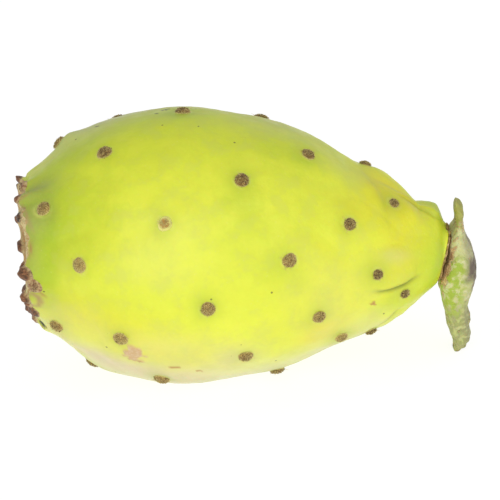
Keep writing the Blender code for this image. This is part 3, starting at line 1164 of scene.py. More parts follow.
@dataclass(frozen=True)
class Gloss:
    """What is the same all over a finish: numbers for the shader's own sockets."""

    roughness: float = 0.5
    specular: float = 0.5
    coat: float = 0.0
    coat_roughness: float = 0.3
    sheen: float = 0.0
    scatter: float = 0.0
    scatter_scale: float = 1.0 * MM

    def material(self, name: str) -> tuple[NodeWriter, Node, bpy.types.Material]:
        """Starts a material with these numbers.

        Args:
            name: The material's name.

        Returns:
            The writer for its nodes, its Principled shader, and the material.
        """
        material = bpy.data.materials.new(name)
        material.use_nodes = True
        writer, shader = NodeWriter(material.node_tree), material.node_tree.nodes["Principled BSDF"]
        writer.fill(
            shader,
            Roughness=self.roughness, Metallic=0.0, Specular_IOR_Level=self.specular,
            Coat_Weight=self.coat, Coat_Roughness=self.coat_roughness, Sheen_Weight=self.sheen,
            Subsurface_Weight=self.scatter, Subsurface_Scale=self.scatter_scale,
        )
        return writer, shader, material


@dataclass(frozen=True)
class SkinFinish:
    """The fruit's waxy skin: yellow-green, with bloom, halos, specks and a corky crown; painted reflection
    whitens its lower edge, and painted shade darkens its creases, a hole and parts of its green.
    """

    # How mottled the edge of each painted patch is, in the order in which they are laid on
    MOTTLING = {
        "lime": 0.16, "leaf_and_shade": 0.1, "gold": 0.12, "bloom_and_reflection": 0.08, "blush": 0.1, "olive": 0.0, "grey": 0.1,
    }

    lemon: Colour = (230, 235, 66)
    lime: Colour = (206, 218, 36)
    # Darker green, also laid on as painted shade by some patches
    leaf_and_shade: Colour = (166, 192, 30)
    gold: Colour = (232, 220, 34)
    # Pale wax bloom, also laid on as painted reflection along the lower edge and underside
    bloom_and_reflection: Colour = (220, 215, 168)
    blush: Colour = (221, 203, 168)
    olive: Colour = (140, 138, 92)
    grey: Colour = (190, 194, 138)
    ring: Colour = (228, 230, 120)
    halo: Colour = (164, 186, 52)
    # Painted shade in the grooves of the neck's folds
    crease: Colour = (112, 120, 34)
    scar: Colour = (206, 170, 120)
    rust: Colour = (186, 142, 66)
    dark: Colour = (84, 82, 40)
    speck: Colour = (96, 92, 28)
    # Painted shadow in the small hole
    hole: Colour = (50, 58, 34)
    seam: Colour = (172, 146, 92)
    cork_light: Colour = (222, 208, 152)
    cork_dark: Colour = (172, 128, 70)
    gloss: Gloss = Gloss(
        roughness=0.46, specular=0.42, coat=0.12, coat_roughness=0.42, scatter=0.15, scatter_scale=2.0 * MM
    )
    broad_size: float = 17 * MM
    fine_size: float = 4.5 * MM
    grain_size: float = 0.7 * MM
    pore_size: float = 1.1 * MM
    speck_gap: float = 2.8 * MM
    wax_roughness: tuple[float, float] = (0.4, 0.54)
    cork_roughness: float = 0.85

    def dress(self, piece: Piece, effects: Effects) -> None:
        """Paints the skin.

        Args:
            piece: The skin, with its painted values.
            effects: The shared node groups.
        """
        writer, shader, material = self.gloss.material("waxy_skin")
        places = writer.places()
        broad = writer.group(effects.mottle, Places=places, Size=self.broad_size).outputs["Mask"]
        fine = writer.group(effects.mottle, Places=places, Size=self.fine_size).outputs["Mask"]
        grain = writer.noise(places, self.grain_size, detail=3.0, rough=0.6)
        colour = self.grown(writer, places, broad, fine, grain, effects)
        cork = writer.group(
            effects.cork, Places=places, Light=linear(self.cork_light), Dark=linear(self.cork_dark)
        )
        older = writer.mix(writer.attribute("old_cork"), cork.outputs["Color"], linear(self.cork_dark))
        uneven = writer.plus(writer.attribute("cork"), writer.times(grain, 0.4))
        ragged = writer.spread(uneven, 0.5, 0.85)
        colour = writer.mix(ragged, colour, older)
        colour = writer.lay(colour, seam=self.seam, crack=self.cork_dark)
        waxy = writer.spread(fine, 0.0, 1.0, *self.wax_roughness)
        roughness = writer.mix(ragged, waxy, (*[self.cork_roughness] * 3, 1.0))
        normal = writer.bump(grain, 0.04 * MM, 0.5)
        normal = writer.bump(fine, 0.12 * MM, 0.5, normal)
        normal = writer.bump(writer.times(cork.outputs["Height"], ragged), 0.16 * MM, 1.0, normal)
        writer.fill(shader, Base_Color=colour, Roughness=roughness, Normal=normal)
        piece.data.materials.append(material)

    def grown(
        self, writer: NodeWriter, places: Socket, broad: Socket, fine: Socket, grain: Socket, effects: Effects
    ) -> Socket:
        """The skin's colours: clouds, mottled patches, halos, pores, specks, rings and scars, with the
        painted reflection and painted shade that some of the patches, the creases and the hole carry.

        Args:
            writer: The writer of the material's nodes.
            places: Places on the object.
            broad: The broad mottle.
            fine: The fine mottle.
            grain: The finest noise.
            effects: The shared node groups.

        Returns:
            The colour.
        """
        colour = writer.mix(writer.times(broad, 0.3), linear(self.lemon), linear(self.lime))
        for name, amount in self.MOTTLING.items():
            lighter = writer.plus(writer.attribute(name), writer.times(fine, amount))
            patch = writer.sum("SUBTRACT", lighter, amount / 2 + 0.02)
            colour = writer.mix(patch, colour, linear(getattr(self, name)))
        colour = writer.mix(writer.times(fine, 0.1), colour, linear(self.leaf_and_shade))
        colour = writer.mix(writer.times(writer.attribute("halo"), 0.8), colour, linear(self.halo))
        pores = writer.spread(writer.cells(places, self.pore_size), 0.0, 0.24, 0.12, 0.0)
        colour = writer.mix(pores, colour, linear(self.bloom_and_reflection))
        colour = writer.mix(writer.spread(grain, 0.25, 0.75, 0.0, 0.12), colour, linear(self.lime))
        specks = writer.group(effects.specks, Places=places, Rate=1 / self.speck_gap).outputs["Mask"]
        colour = writer.mix(writer.times(specks, 0.8), colour, linear(self.speck))
        colour = writer.lay(colour, ring=self.ring)
        scarred = writer.mix(writer.spread(grain, 0.4, 0.75, 0.0, 0.6), linear(self.scar), linear(self.blush))
        colour = writer.mix(writer.attribute("scar"), colour, scarred)
        return writer.lay(colour, rust=self.rust, dark=self.dark, crease=self.crease, hole=self.hole)


@dataclass(frozen=True)
class FeltFinish:
    """Dry brown felt: tan and dark strands, greyer with age, and pale at its ring."""

    pale: Colour = (230, 214, 138)
    tan: Colour = (186, 154, 88)
    brown: Colour = (136, 102, 54)
    dark: Colour = (72, 53, 31)
    amber: Colour = (204, 152, 70)
    cream: Colour = (254, 248, 150)
    ring: Colour = (222, 214, 130)
    gloss: Gloss = Gloss(roughness=0.9, specular=0.2, sheen=0.2)

    def dress(self, piece: Piece) -> None:
        """Paints the cushions and their strands.

        Args:
            piece: The felt, with its painted values.
        """
        writer, shader, material = self.gloss.material("dry_felt")
        strands = writer.noise(writer.places(), 0.42 * MM, detail=3.0, rough=0.6, swirl=2.2)
        tone = writer.plus(writer.spread(strands, 0.32, 0.68, 0.0, 0.5), writer.attribute("tone"))
        colour = writer.ramp(
            tone, ((0.02, self.dark), (0.26, self.brown), (0.52, self.tan), (0.86, self.pale))
        )
        colour = writer.lay(colour, amber=self.amber, cream=self.cream)
        ring = writer.times(writer.attribute("ring"), writer.spread(strands, 0.3, 0.6, 0.25, 0.9))
        colour = writer.mix(ring, colour, linear(self.ring))
        writer.fill(shader, Base_Color=colour, Normal=writer.bump(strands, 0.18 * MM))
        piece.data.materials.append(material)


@dataclass(frozen=True)
class NubFinish:
    """The crown's nubs: reddish brown on top, tan and corky at their rims."""

    red: Colour = (140, 92, 60)
    brown: Colour = (98, 68, 46)
    tan: Colour = (200, 176, 126)
    dark: Colour = (52, 40, 30)
    gloss: Gloss = Gloss(roughness=0.8, specular=0.25, sheen=0.25)

    def dress(self, piece: Piece) -> None:
        """Paints the nubs.

        Args:
            piece: The nubs, with their painted values.
        """
        writer, shader, material = self.gloss.material("crown_felt")
        places = writer.places()
        blotch = writer.noise(places, 0.9 * MM, swirl=0.8)
        fibre = writer.noise(places, 0.22 * MM, detail=2.0, rough=0.6, swirl=1.0)
        mixed = writer.plus(
            writer.spread(blotch, 0.3, 0.7, 0.05, 0.45), writer.spread(fibre, 0.3, 0.7, 0.0, 0.22)
        )
        tone = writer.plus(mixed, writer.attribute("tone"))
        colour = writer.ramp(tone, ((0.0, self.dark), (0.26, self.brown), (0.52, self.red), (0.9, self.tan)))
        rim = writer.times(writer.attribute("rim"), writer.spread(blotch, 0.35, 0.6, 0.2, 0.85))
        colour = writer.mix(rim, colour, linear(self.tan))
        normal = writer.bump(blotch, 0.25 * MM, 1.0, writer.bump(fibre, 0.1 * MM))
        writer.fill(shader, Base_Color=colour, Normal=normal)
        piece.data.materials.append(material)


@dataclass(frozen=True)
class BristleFinish:
    """Pale straw-coloured bristles."""

    straw: Colour = (232, 216, 150)
    tip: Colour = (204, 164, 96)
    gloss: Gloss = Gloss(roughness=0.45, specular=0.5)

    def dress(self, piece: Piece) -> None:
        """Paints the bristles, darker towards their tips."""
        writer, shader, material = self.gloss.material("straw_bristle")
        colour = writer.mix(writer.attribute("tone"), linear(self.straw), linear(self.tip))
        writer.put(shader.inputs["Base Color"], colour)
        piece.data.materials.append(material)


@dataclass(frozen=True)
class PadFinish:
    """The slice of pad: pale green flesh with bright mottles, browned and corky at its edges."""

    flesh: Colour = (204, 204, 136)
    pale: Colour = (222, 220, 180)
    green: Colour = (166, 186, 66)
    olive: Colour = (174, 174, 88)
    grey: Colour = (114, 101, 88)
    dull: Colour = (160, 160, 106)
    cork_light: Colour = (248, 222, 162)
    cork_dark: Colour = (204, 160, 104)
    gloss: Gloss = Gloss(roughness=0.62, specular=0.35, scatter=0.1, scatter_scale=1.2 * MM)
    mottle_size: float = 1.3 * MM
    fine_size: float = 1.1 * MM
    speck_gap: float = 1.6 * MM

    def dress(self, piece: Piece, effects: Effects) -> None:
        """Paints the heel.

        Args:
            piece: The heel, with its painted values.
            effects: The shared node groups.
        """
        writer, shader, material = self.gloss.material("pad_flesh")
        places = writer.places()
        mottle = writer.group(effects.mottle, Places=places, Size=self.mottle_size).outputs["Mask"]
        fine = writer.group(effects.mottle, Places=places, Size=self.fine_size).outputs["Mask"]
        colour = writer.mix(writer.times(fine, 0.5), linear(self.flesh), linear(self.pale))
        dull = writer.times(writer.attribute("dull"), writer.spread(fine, 0.0, 0.6, 0.3, 1.0))
        colour = writer.mix(dull, colour, linear(self.dull))
        green = writer.times(writer.attribute("green"), writer.spread(mottle, 0.05, 0.75))
        colour = writer.mix(green, colour, linear(self.green))
        colour = writer.lay(colour, olive=self.olive)
        grey = writer.times(writer.attribute("grey"), writer.spread(mottle, 0.0, 0.6, 0.8, 1.0))
        colour = writer.mix(grey, colour, linear(self.grey))
        cork = writer.group(
            effects.cork, Places=places, Light=linear(self.cork_light), Dark=linear(self.cork_dark)
        )
        corky = writer.spread(writer.plus(writer.attribute("cork"), writer.times(fine, 0.3)), 0.45, 0.75)
        colour = writer.mix(corky, colour, cork.outputs["Color"])
        specks = writer.group(effects.specks, Places=places, Rate=1 / self.speck_gap).outputs["Mask"]
        colour = writer.mix(writer.times(specks, 0.4), colour, linear(self.cork_dark))
        normal = writer.bump(fine, 0.15 * MM)
        normal = writer.bump(writer.times(cork.outputs["Height"], corky), 0.3 * MM, 1.0, normal)
        writer.fill(shader, Base_Color=colour, Normal=normal)
        piece.data.materials.append(material)


@dataclass(frozen=True)
class CorkFinish:
    """The dry corky ring where the fruit parts from the pad."""

    light: Colour = (236, 206, 142)
    dark: Colour = (180, 136, 84)
    gloss: Gloss = Gloss(roughness=0.85, specular=0.25)

    def dress(self, piece: Piece, effects: Effects) -> None:
        """Paints the ring of cork.

        Args:
            piece: The ring.
            effects: The shared node groups.
        """
        writer, shader, material = self.gloss.material("joint_cork")
        cork = writer.group(
            effects.cork, Places=writer.places(), Light=linear(self.light), Dark=linear(self.dark)
        )
        normal = writer.bump(cork.outputs["Height"], 0.3 * MM)
        writer.fill(shader, Base_Color=cork.outputs["Color"], Normal=normal)
        piece.data.materials.append(material)


# Pieces of the fruit


@dataclass
class FruitSkin:
    """The skin: the grown form with its swellings, folds, pits and crown, on one closed grid."""

    form: FruitForm
    rows: int = 326
    sides: int = 292
    unevenness: float = 0.12 * MM
    unevenness_length: float = 13 * MM
    ripple: float = 0.035 * MM
    ripple_length: float = 3.5 * MM
    pit_depth: float = 0.22 * MM
    pit_reach: float = 2.3 * MM
    ring_width: float = 0.3 * MM
    ring_strength: float = 0.5
    halo_reach: float = 3.0 * MM
    halo_offset: tuple[float, float] = (-0.3 * MM, -0.3 * MM)
    lobe_height: float = 0.5 * MM
    lobe_past_crest: float = 1.6 * MM
    lobe_size: tuple[float, float] = (2.6 * MM, 1.8 * MM)
    tubercle_height: float = 0.35 * MM
    tubercle_reach: float = 1.6 * MM
    cup_seam: float = 0.35 * MM
    cup_fade: tuple[float, float] = (1.5 * MM, 4.0 * MM)
    cup_ray_fade: tuple[float, float] = (1.0 * MM, 5.0 * MM)
    cup_rays: int = 13
    cup_ring_rate: float = 2.6
    crest_fade: tuple[float, float] = (-1.6 * MM, 0.2 * MM)
    base_fade: tuple[float, float] = (83.4 * MM, 84.2 * MM)
    cork_edge: float = 0.45 * MM
    base_cork: tuple[float, float] = (6.3 * MM, 5.6 * MM)
    old_cork: tuple[float, float] = (0.5 * MM, 3.0 * MM)
    stand_step: float = 0.6 * MM
    stand_turn: float = 0.03

    def crown_lobes(self, run: Array, angle: Array) -> Array:
        """Height of the lobes behind the crown's nubs.

        Formula: each lobe is a bell that stands on the flank just behind its nub, longer along the
        fruit than round it; the highest lobe counts at each point. A smaller bell carries the nub
        itself, and lumps of the rim's own are added.

        Args:
            run: Distances along the outline.
            angle: Angles round the axis.

        Returns:
            The height at each point, in metres.
        """
        form = self.form
        past = run - form.crest_run
        lobes, tubercles = np.zeros(run.shape), np.zeros(run.shape)
        for nub in form.nubs:
            around = turn_between(angle, nub.angle) * form.crown_radius
            along = past - nub.past_crest
            behind = np.hypot(around / self.lobe_size[1], (along - self.lobe_past_crest) / self.lobe_size[0])
            lobes = np.maximum(lobes, bell(behind, 1.0))
            tubercles = np.maximum(tubercles, bell(np.hypot(around, along), self.tubercle_reach))
        lumps = sum(lump.on(form, past, angle) for lump in CROWN_LUMPS) * MM
        seams = sum(seam.relief(form, past, angle)[0] for group in CROWN_SEAMS.values() for seam in group)
        return self.lobe_height * lobes + self.tubercle_height * tubercles + lumps + seams

    def cup_scar(self, run: Array, angle: Array) -> Array:
        """The dried flower scar in the cup: rings and rays of cracked cork.

        Formula: sines of the distance from the middle and of the angle, fading out at the cup's
        wall.
        """
        fade = ease(self.form.crest_run - run, *self.cup_fade)
        rings = np.sin(run / MM * self.cup_ring_rate + 0.6 * np.sin(3 * angle))
        rays = np.sin(self.cup_rays * angle + 0.8 * np.sin(run / MM)) * ease(run, *self.cup_ray_fade)
        return self.cup_seam * fade * (0.5 * rings + 0.5 * rays)

    def flank_share(self, run: Array) -> Array:
        """1 on the flank, falling to 0 over the crest and over the base's rim."""
        form = self.form
        station = np.interp(run, form.run, form.path[:, 0])
        return ease(run - form.crest_run, *self.crest_fade) * (1 - ease(station, *self.base_fade))

    def relief(self, run: Array, angle: Array) -> Array:
        """Everything that rises from the smooth form or sinks into it.

        Formula: the sum of swellings, folds, lobes and soft random waves, less a bell-shaped pit
        under each areole, all fading out at the two ends; plus the scar in the cup.

        Args:
            run: Distances along the outline.
            angle: Angles round the axis.

        Returns:
            The height at each point, in metres.
        """
        form = self.form
        station = form.station_at(run)
        rise = form.swelling(station, angle) + self.crown_lobes(run, angle)
        rise += sum(lump.on(form, station, angle) for lump in SKIN_LUMPS) * MM
        for fold in NECK_FOLDS:
            rise += fold.relief(form, station, angle)[0]
        smooth = form.place(run, angle)
        uneven = self.unevenness * waves(smooth, self.unevenness_length, seed=4)
        rise += uneven + self.ripple * waves(smooth, self.ripple_length, seed=7)
        for areole in form.areoles:
            rise -= self.pit_depth * bell(np.hypot(*form.gap_to(areole, run, angle)), self.pit_reach)
        for spot in SPOTS:
            rise += spot.rise * spot.on(form, station, angle, smooth)
        return rise * self.flank_share(run) + self.cup_scar(run, angle)

    def surface(self, run: Array, angle: Array) -> Array:
        """Places on the finished skin."""
        return self.form.place(run, angle, self.relief(run, angle))

    def patches(self, run: Array, angle: Array) -> dict[str, Array]:
        """What is painted on the skin.

        Args:
            run: Distances along the outline.
            angle: Angles round the axis.

        Returns:
            How strong each of its colours is at each point, from 0 to 1.
        """
        form = self.form
        station, past_crest = form.station_at(run), run - form.crest_run
        smooth, flank = form.place(run, angle), self.flank_share(run)
        paint = {
            name: np.clip(sum(patch.on(form, station, angle) for patch in group), 0, 1) * flank
            for name, group in SKIN_PATCHES.items()
        }
        halo, ring = self.areole_marks(run, angle, smooth)
        paint["halo"], paint["ring"] = halo * flank, ring * flank
        # Painted shade in the folds' grooves
        shades = [fold.relief(form, station, angle)[1] for fold in NECK_FOLDS]
        paint["crease"] = np.maximum.reduce(shades) * flank
        paint["cork"] = self.cork_share(run, angle, smooth)
        for name, seams in CROWN_SEAMS.items():
            shade = sum(seam.relief(form, past_crest, angle)[1] for seam in seams)
            paint[name] = np.clip(shade, 0, 1) * flank
        paint["old_cork"] = ease(-past_crest, *self.old_cork)
        for spot in SPOTS:
            value = spot.on(form, station, angle, smooth)
            paint[spot.colour] = np.maximum(paint.get(spot.colour, 0.0), value)
        return paint

    def areole_marks(self, run: Array, angle: Array, smooth: Array) -> tuple[Array, Array]:
        """The dark halos and the pale rings of the areoles.

        Formula: bells of the distance from each areole's middle, moved a little and of a strength
        of its own for the halo, and of the distance from its edge for the ring, which random waves
        break up; the strongest areole counts.

        Args:
            run: Distances along the outline.
            angle: Angles round the axis.
            smooth: The points themselves, for the waves.

        Returns:
            The strengths of the halo and of the ring at each point.
        """
        halo, ring = np.zeros(run.shape), np.zeros(run.shape)
        patchy = 0.5 + 0.5 * waves(smooth, 2.4 * MM, seed=12)
        for areole in self.form.areoles:
            along, around = self.form.gap_to(areole, run, angle)
            moved = np.hypot(along - self.halo_offset[0], around - self.halo_offset[1])
            strength = 0.5 + 0.2 * math.sin(areole.index * 2.1)
            halo = np.maximum(halo, strength * bell(moved, self.halo_reach))
            from_edge = np.hypot(along, around) - areole.radius - 0.5 * self.ring_width
            edge = self.ring_strength * bell(from_edge, self.ring_width)
            ring = np.maximum(ring, edge * np.clip(patchy, 0.1, 1))
        return halo, ring

    def cork_share(self, run: Array, angle: Array, smooth: Array) -> Array:
        """Where the skin is cork: the crown's rim with its wandering edge, and the base.

        Args:
            run: Distances along the outline.
            angle: Angles round the axis.
            smooth: The points themselves, for the wandering edge.

        Returns:
            1 on cork and 0 on skin at each point, with a soft edge.
        """
        wander = 0.25 * MM * waves(smooth, 3.2 * MM, seed=31) + 0.15 * MM * waves(smooth, 1.1 * MM, seed=32)
        reach = read_mm(CORK_REACH_MM, np.degrees(turn_between(angle, 0.0)) * MM)
        past_crest = run - self.form.crest_run
        rim = ease(reach + wander - past_crest, -self.cork_edge, self.cork_edge)
        end = self.form.run[-1]
        return np.maximum(rim, ease(run, end - self.base_cork[0], end - self.base_cork[1]))

    def build(self) -> Piece:
        """Builds the skin's mesh and paints its patches.

        Returns:
            The piece.
        """
        run, angle = grid_of(np.linspace(0, self.form.run[-1], self.rows), round_about(self.sides))
        rings = self.form.press_on_floor(self.surface(run, angle))
        grid = Grid("fruit_skin")
        grid.add_rings(rings[None], {key: value[None] for key, value in self.patches(run, angle).items()})
        return grid.build()

    def stand_at(self, run: Array, angle: Array) -> "Stand":
        """Finds stands on the skin.

        Formula: the directions are differences between points a little apart along and round the
        skin, and their cross product is the way out.

        Args:
            run: Distances of the stands along the outline.
            angle: Their angles.

        Returns:
            The stands.
        """
        along = unit(self.surface(run + self.stand_step, angle) - self.surface(run - self.stand_step, angle))
        across = self.surface(run, angle + self.stand_turn) - self.surface(run, angle - self.stand_turn)
        outwards = unit(np.cross(across, along))
        return Stand(self.surface(run, angle), along, np.cross(outwards, along), outwards)


@dataclass(frozen=True)
class Stand:
    """Where small things stand: places with two directions in the skin and one out of it."""

    origin: Array
    along: Array
    across: Array
    outwards: Array

    def put(self, x: Array, y: Array, height: Array) -> Array:
        """Points at x along, y across and a height out of the skin.

        Args:
            x: Distances along, with one row for each stand.
            y: Distances across, in the same shape.
            height: Heights, in the same shape.

        Returns:
            The points, in an array of that shape by 3.
        """
        wider = tuple(range(1, x.ndim))
        origin, along, across, outwards = (
            np.expand_dims(axis, wider) for axis in (self.origin, self.along, self.across, self.outwards)
        )
        return origin + along * x[..., None] + across * y[..., None] + outwards * height[..., None]

    def picked(self, owner: Array) -> "Stand":
        """The stands of the owners listed, one for each entry."""
        return Stand(self.origin[owner], self.along[owner], self.across[owner], self.outwards[owner])


@dataclass(frozen=True)
class Dome:
    """The shape of low domes: how square their shoulders are, and how deep their roots go."""

    squareness: float
    shoulder_power: float
    root: float
    rows: int = 13
    sides: int = 26
    top_share: float = 0.12
    skirt_shares: tuple[float, float] = (1.04, 0.9)
    skirt_heights: tuple[float, float] = (0.04 * MM, -0.12 * MM)

    def level(self, share: Array) -> Array:
        """Height over the edge at a share of the way out: a superellipse from 1 to 0."""
        return np.clip(1 - share**self.squareness, 0, 1) ** self.shoulder_power

    def profile(
        self, radius: Array, height: Array, stretch: Array, seed: int
    ) -> tuple[Array, Array, Array, Array]:
        """Lays out domes before they stand anywhere.

        Formula: a dome's height is the superellipse of the share of the way to its edge, with the
        edge drawn down into the skin; radius and height waver round the dome.

        Args:
            radius: The domes' radii.
            height: Their heights.
            stretch: How much longer each is across than along.
            seed: Seed of the wavers.

        Returns:
            Distances along, distances across, heights and shares of the way out, each in an array
            of domes by rings by points round. The last rings are the root's.
        """
        out = np.concatenate([[0.0], np.linspace(self.top_share, 1.0, self.rows - 3), self.skirt_shares])
        share, phi = grid_of(out, round_about(self.sides))
        draw = np.random.default_rng(seed)
        phases = draw.uniform(0, 2 * math.pi, (len(radius), 3, 1, 1))
        waver = 0.06 * np.sin(2 * phi + phases[:, 0]) + 0.05 * np.sin(3 * phi + phases[:, 1])
        reach = radius[:, None, None] * share * (1 + waver * np.minimum(share * 2, 1))
        level = self.level(share) * (1 + 0.1 * np.sin(4 * phi + phases[:, 2]) * share)
        rise = height[:, None, None] * level
        rise[:, -3:] = np.array([*self.skirt_heights, -self.root])[:, None]
        long = np.sqrt(stretch)[:, None, None]
        along, across = reach * np.cos(phi) / long, reach * np.sin(phi) * long
        return along, across, rise, np.broadcast_to(share, rise.shape)

    @staticmethod
    def closed(rings: Array, share: Array) -> tuple[Array, Array]:
        """Closes each dome at its top and under its root, and puts its rings in order.

        Args:
            rings: The rings of points from the top to the root.
            share: The share at each point.

        Returns:
            The rings from the middle of the root to the top, and the share at each point.
        """
        top = rings[:, :1].mean(axis=2, keepdims=True)
        root = rings[:, -1:].mean(axis=2, keepdims=True)
        whole = np.concatenate([np.broadcast_to(top, rings[:, :1].shape), rings[:, 1:]], axis=1)
        whole = np.concatenate([whole, np.broadcast_to(root, rings[:, :1].shape)], axis=1)
        return whole[:, ::-1], np.concatenate([share, share[:, -1:]], axis=1)[:, ::-1]


@dataclass(frozen=True)
class Strands:
    """Short thick strands of felt, crowded on domes."""

    each: int
    lengths: tuple[float, float]
    thicknesses: tuple[float, float]
    spread: float
    sides: int = 3
    steps: tuple[float, ...] = (-0.25, 0.2, 0.8, 1.0)
    girths: tuple[float, ...] = (0.0, 1.0, 0.85, 0.0)
    tones: tuple[float, ...] = (-0.4, -0.2, 0.14, 0.2)

    def rings(
        self, stand: Stand, radius: Array, height: Array, dome: Dome, seed: int
    ) -> tuple[Array, Array, Array]:
        """Strands that stand on domes.

        Formula: the strands start in a sunflower pattern, each at the golden angle from the last;
        each is a three-sided spike that leans a random way and bends over.

        Args:
            stand: Where the domes stand.
            radius: The domes' radii.
            height: The domes' heights.
            dome: The domes' shape.
            seed: Seed of the random draw.

        Returns:
            The rings of the spikes, a tone for each point, darker at the root, and the share of the
            way out of each strand.
        """
        draw = np.random.default_rng(seed)
        size = (len(radius), self.each)
        number = np.arange(self.each)
        share = np.clip(np.sqrt((number + 0.5) / self.each) * self.spread + draw.normal(0, 0.03, size), 0, 1)
        phi = number * math.pi * (3 - math.sqrt(5)) + draw.uniform(0, 2 * math.pi, (len(radius), 1))
        long = draw.uniform(*self.lengths, size)[..., None]
        thick = draw.uniform(*self.thicknesses, size)[..., None]
        way = (phi + draw.normal(0, 1.1, size))[..., None]
        lean = (0.35 + 0.9 * share + draw.normal(0, 0.3, size))[..., None]
        steps = np.array(self.steps)
        bend = lean * (0.6 + 0.6 * np.maximum(steps, 0))
        out = long * steps * np.sin(bend)
        x = (radius[:, None] * share * np.cos(phi))[..., None] + out * np.cos(way)
        y = (radius[:, None] * share * np.sin(phi))[..., None] + out * np.sin(way)
        up = (height[:, None] * dome.level(share))[..., None] + long * steps * np.cos(bend)
        girth = (thick * np.array(self.girths))[..., None]
        psi = 2 * math.pi * np.arange(self.sides) / self.sides
        x = x[..., None] - girth * np.sin(way)[..., None] * np.cos(psi)
        y = y[..., None] + girth * np.cos(way)[..., None] * np.cos(psi)
        rings = stand.put(x, y, up[..., None] + girth * np.sin(psi)).reshape(-1, len(steps), self.sides, 3)
        tone = draw.uniform(-0.4, 0.5, size).reshape(-1, 1, 1) + np.array(self.tones)[:, None]
        return rings, np.broadcast_to(tone, rings.shape[:3]), share.reshape(-1)


@dataclass
class FeltCushions:
    """The felt cushions of the areoles, with their strands."""

    skin: FruitSkin
    height: float = 0.78 * MM
    dome: Dome = Dome(squareness=2.6, shoulder_power=0.6, root=0.5 * MM)
    strands: Strands = Strands(
        each=240, lengths=(0.18 * MM, 0.4 * MM), thicknesses=(0.045 * MM, 0.085 * MM), spread=0.98
    )

    def stand(self) -> Stand:
        """The areoles' places on the skin."""
        form = self.skin.form
        run = form.run_at(each(form.areoles, "station"))
        return self.skin.stand_at(run, each(form.areoles, "angle"))

    def build(self) -> Piece:
        """Builds the cushions and their strands as one piece.

        Returns:
            The piece.
        """
        form = self.skin.form
        radius = each(form.areoles, "radius")
        lightness = np.array([areole.felt.value for areole in form.areoles])
        height = self.height * radius / form.areole_radius
        stand = self.stand()
        grid = Grid("areole_felt")
        along, across, rise, share = self.dome.profile(radius, height, np.ones(len(radius)), seed=11)
        rings, share = self.dome.closed(stand.put(along, across, rise), share)
        fresh = np.array([areole.felt is Felt.FRESH for areole in form.areoles])
        tone = (lightness - 0.22)[:, None, None] * np.ones(share.shape)
        mottle = 0.5 + 0.5 * waves(rings, 0.5 * MM, seed=16)
        amber = fresh[:, None, None] * ease(share, 0.85, 0.45) * mottle
        cream = fresh[:, None, None] * ease(share, 0.65, 0.8)
        grid.add_rings(
            form.keep_in(rings), {"tone": tone, "ring": ease(share, 0.9, 1.0), "amber": amber, "cream": cream}
        )
        rings, tone, share = self.strands.rings(stand, radius * 0.95, height * 0.96, self.dome, seed=21)
        owner = np.repeat(np.arange(len(radius)), self.strands.each)
        aged = (lightness + 0.08)[owner][:, None, None]
        amber = fresh[owner][:, None, None] * ease(share, 0.85, 0.5)[:, None, None] * (0.35 - tone)
        cream = fresh[owner][:, None, None] * np.maximum(ease(share, 0.5, 0.8)[:, None, None], tone > 0.3)
        grid.add_rings(
            form.keep_in(rings), {"tone": tone + aged, "ring": tone * 0, "amber": amber, "cream": cream}
        )
        return grid.build()


@dataclass
class CrownNubs:
    """The close-set nubs on the crown's crest, which lean outwards."""

    skin: FruitSkin
    dome: Dome = Dome(squareness=2.2, shoulder_power=0.75, root=0.35 * MM, rows=18, sides=30)
    roughness: float = 0.07 * MM
    strands: Strands = Strands(
        each=110, lengths=(0.16 * MM, 0.34 * MM), thicknesses=(0.06 * MM, 0.1 * MM), spread=1.0
    )

    def build(self) -> Piece:
        """Builds the nubs.

        Formula: each nub is a patch of the skin's own surface that is pushed out along the way the
        nub leans, by the dome's height there; the paler ones have felt on top.

        Returns:
            The piece.
        """
        form = self.skin.form
        nubs = form.nubs
        turn = each(nubs, "angle")
        run = form.crest_run + each(nubs, "past_crest")
        radius = each(nubs, "radius")
        height = each(nubs, "height")
        stretch = each(nubs, "stretch")
        lightness = np.array([nub.look.value for nub in nubs])
        lean = each(nubs, "lean")[:, None]
        ray, forwards = ray_at(turn), np.array([-1.0, 0.0, 0.0])
        outwards = unit(form.turned(ray * lean + forwards))

        along, across, rise, share = self.dome.profile(radius, height, stretch, seed=14)
        ground = self.skin.surface(
            run[:, None, None] + along, turn[:, None, None] - across / form.crown_radius
        )
        rough = self.roughness * waves(ground, 0.8 * MM, seed=15) * ease(share, 1.0, 0.8)
        rings, share = self.dome.closed(ground + outwards[:, None, None] * (rise + rough)[..., None], share)
        grid = Grid("crown_nubs")
        grid.add_rings(form.keep_in(rings), {"tone": lightness[:, None, None], "rim": ease(share, 0.78, 1.0)})

        tufted = [index for index, nub in enumerate(nubs) if nub.look is NubLook.TUFT]
        sideways = unit(np.cross(outwards, form.turned(ray)))
        stand = Stand(self.skin.surface(run, turn), np.cross(sideways, outwards), sideways, outwards)
        stand, radius, height = stand.picked(tufted), radius[tufted], height[tufted] * 0.9
        rings, tone, _ = self.strands.rings(stand, radius, height, self.dome, seed=22)
        grid.add_rings(form.keep_in(rings), {"tone": tone * 0.7 + 0.3, "rim": tone * 0})
        return grid.build()


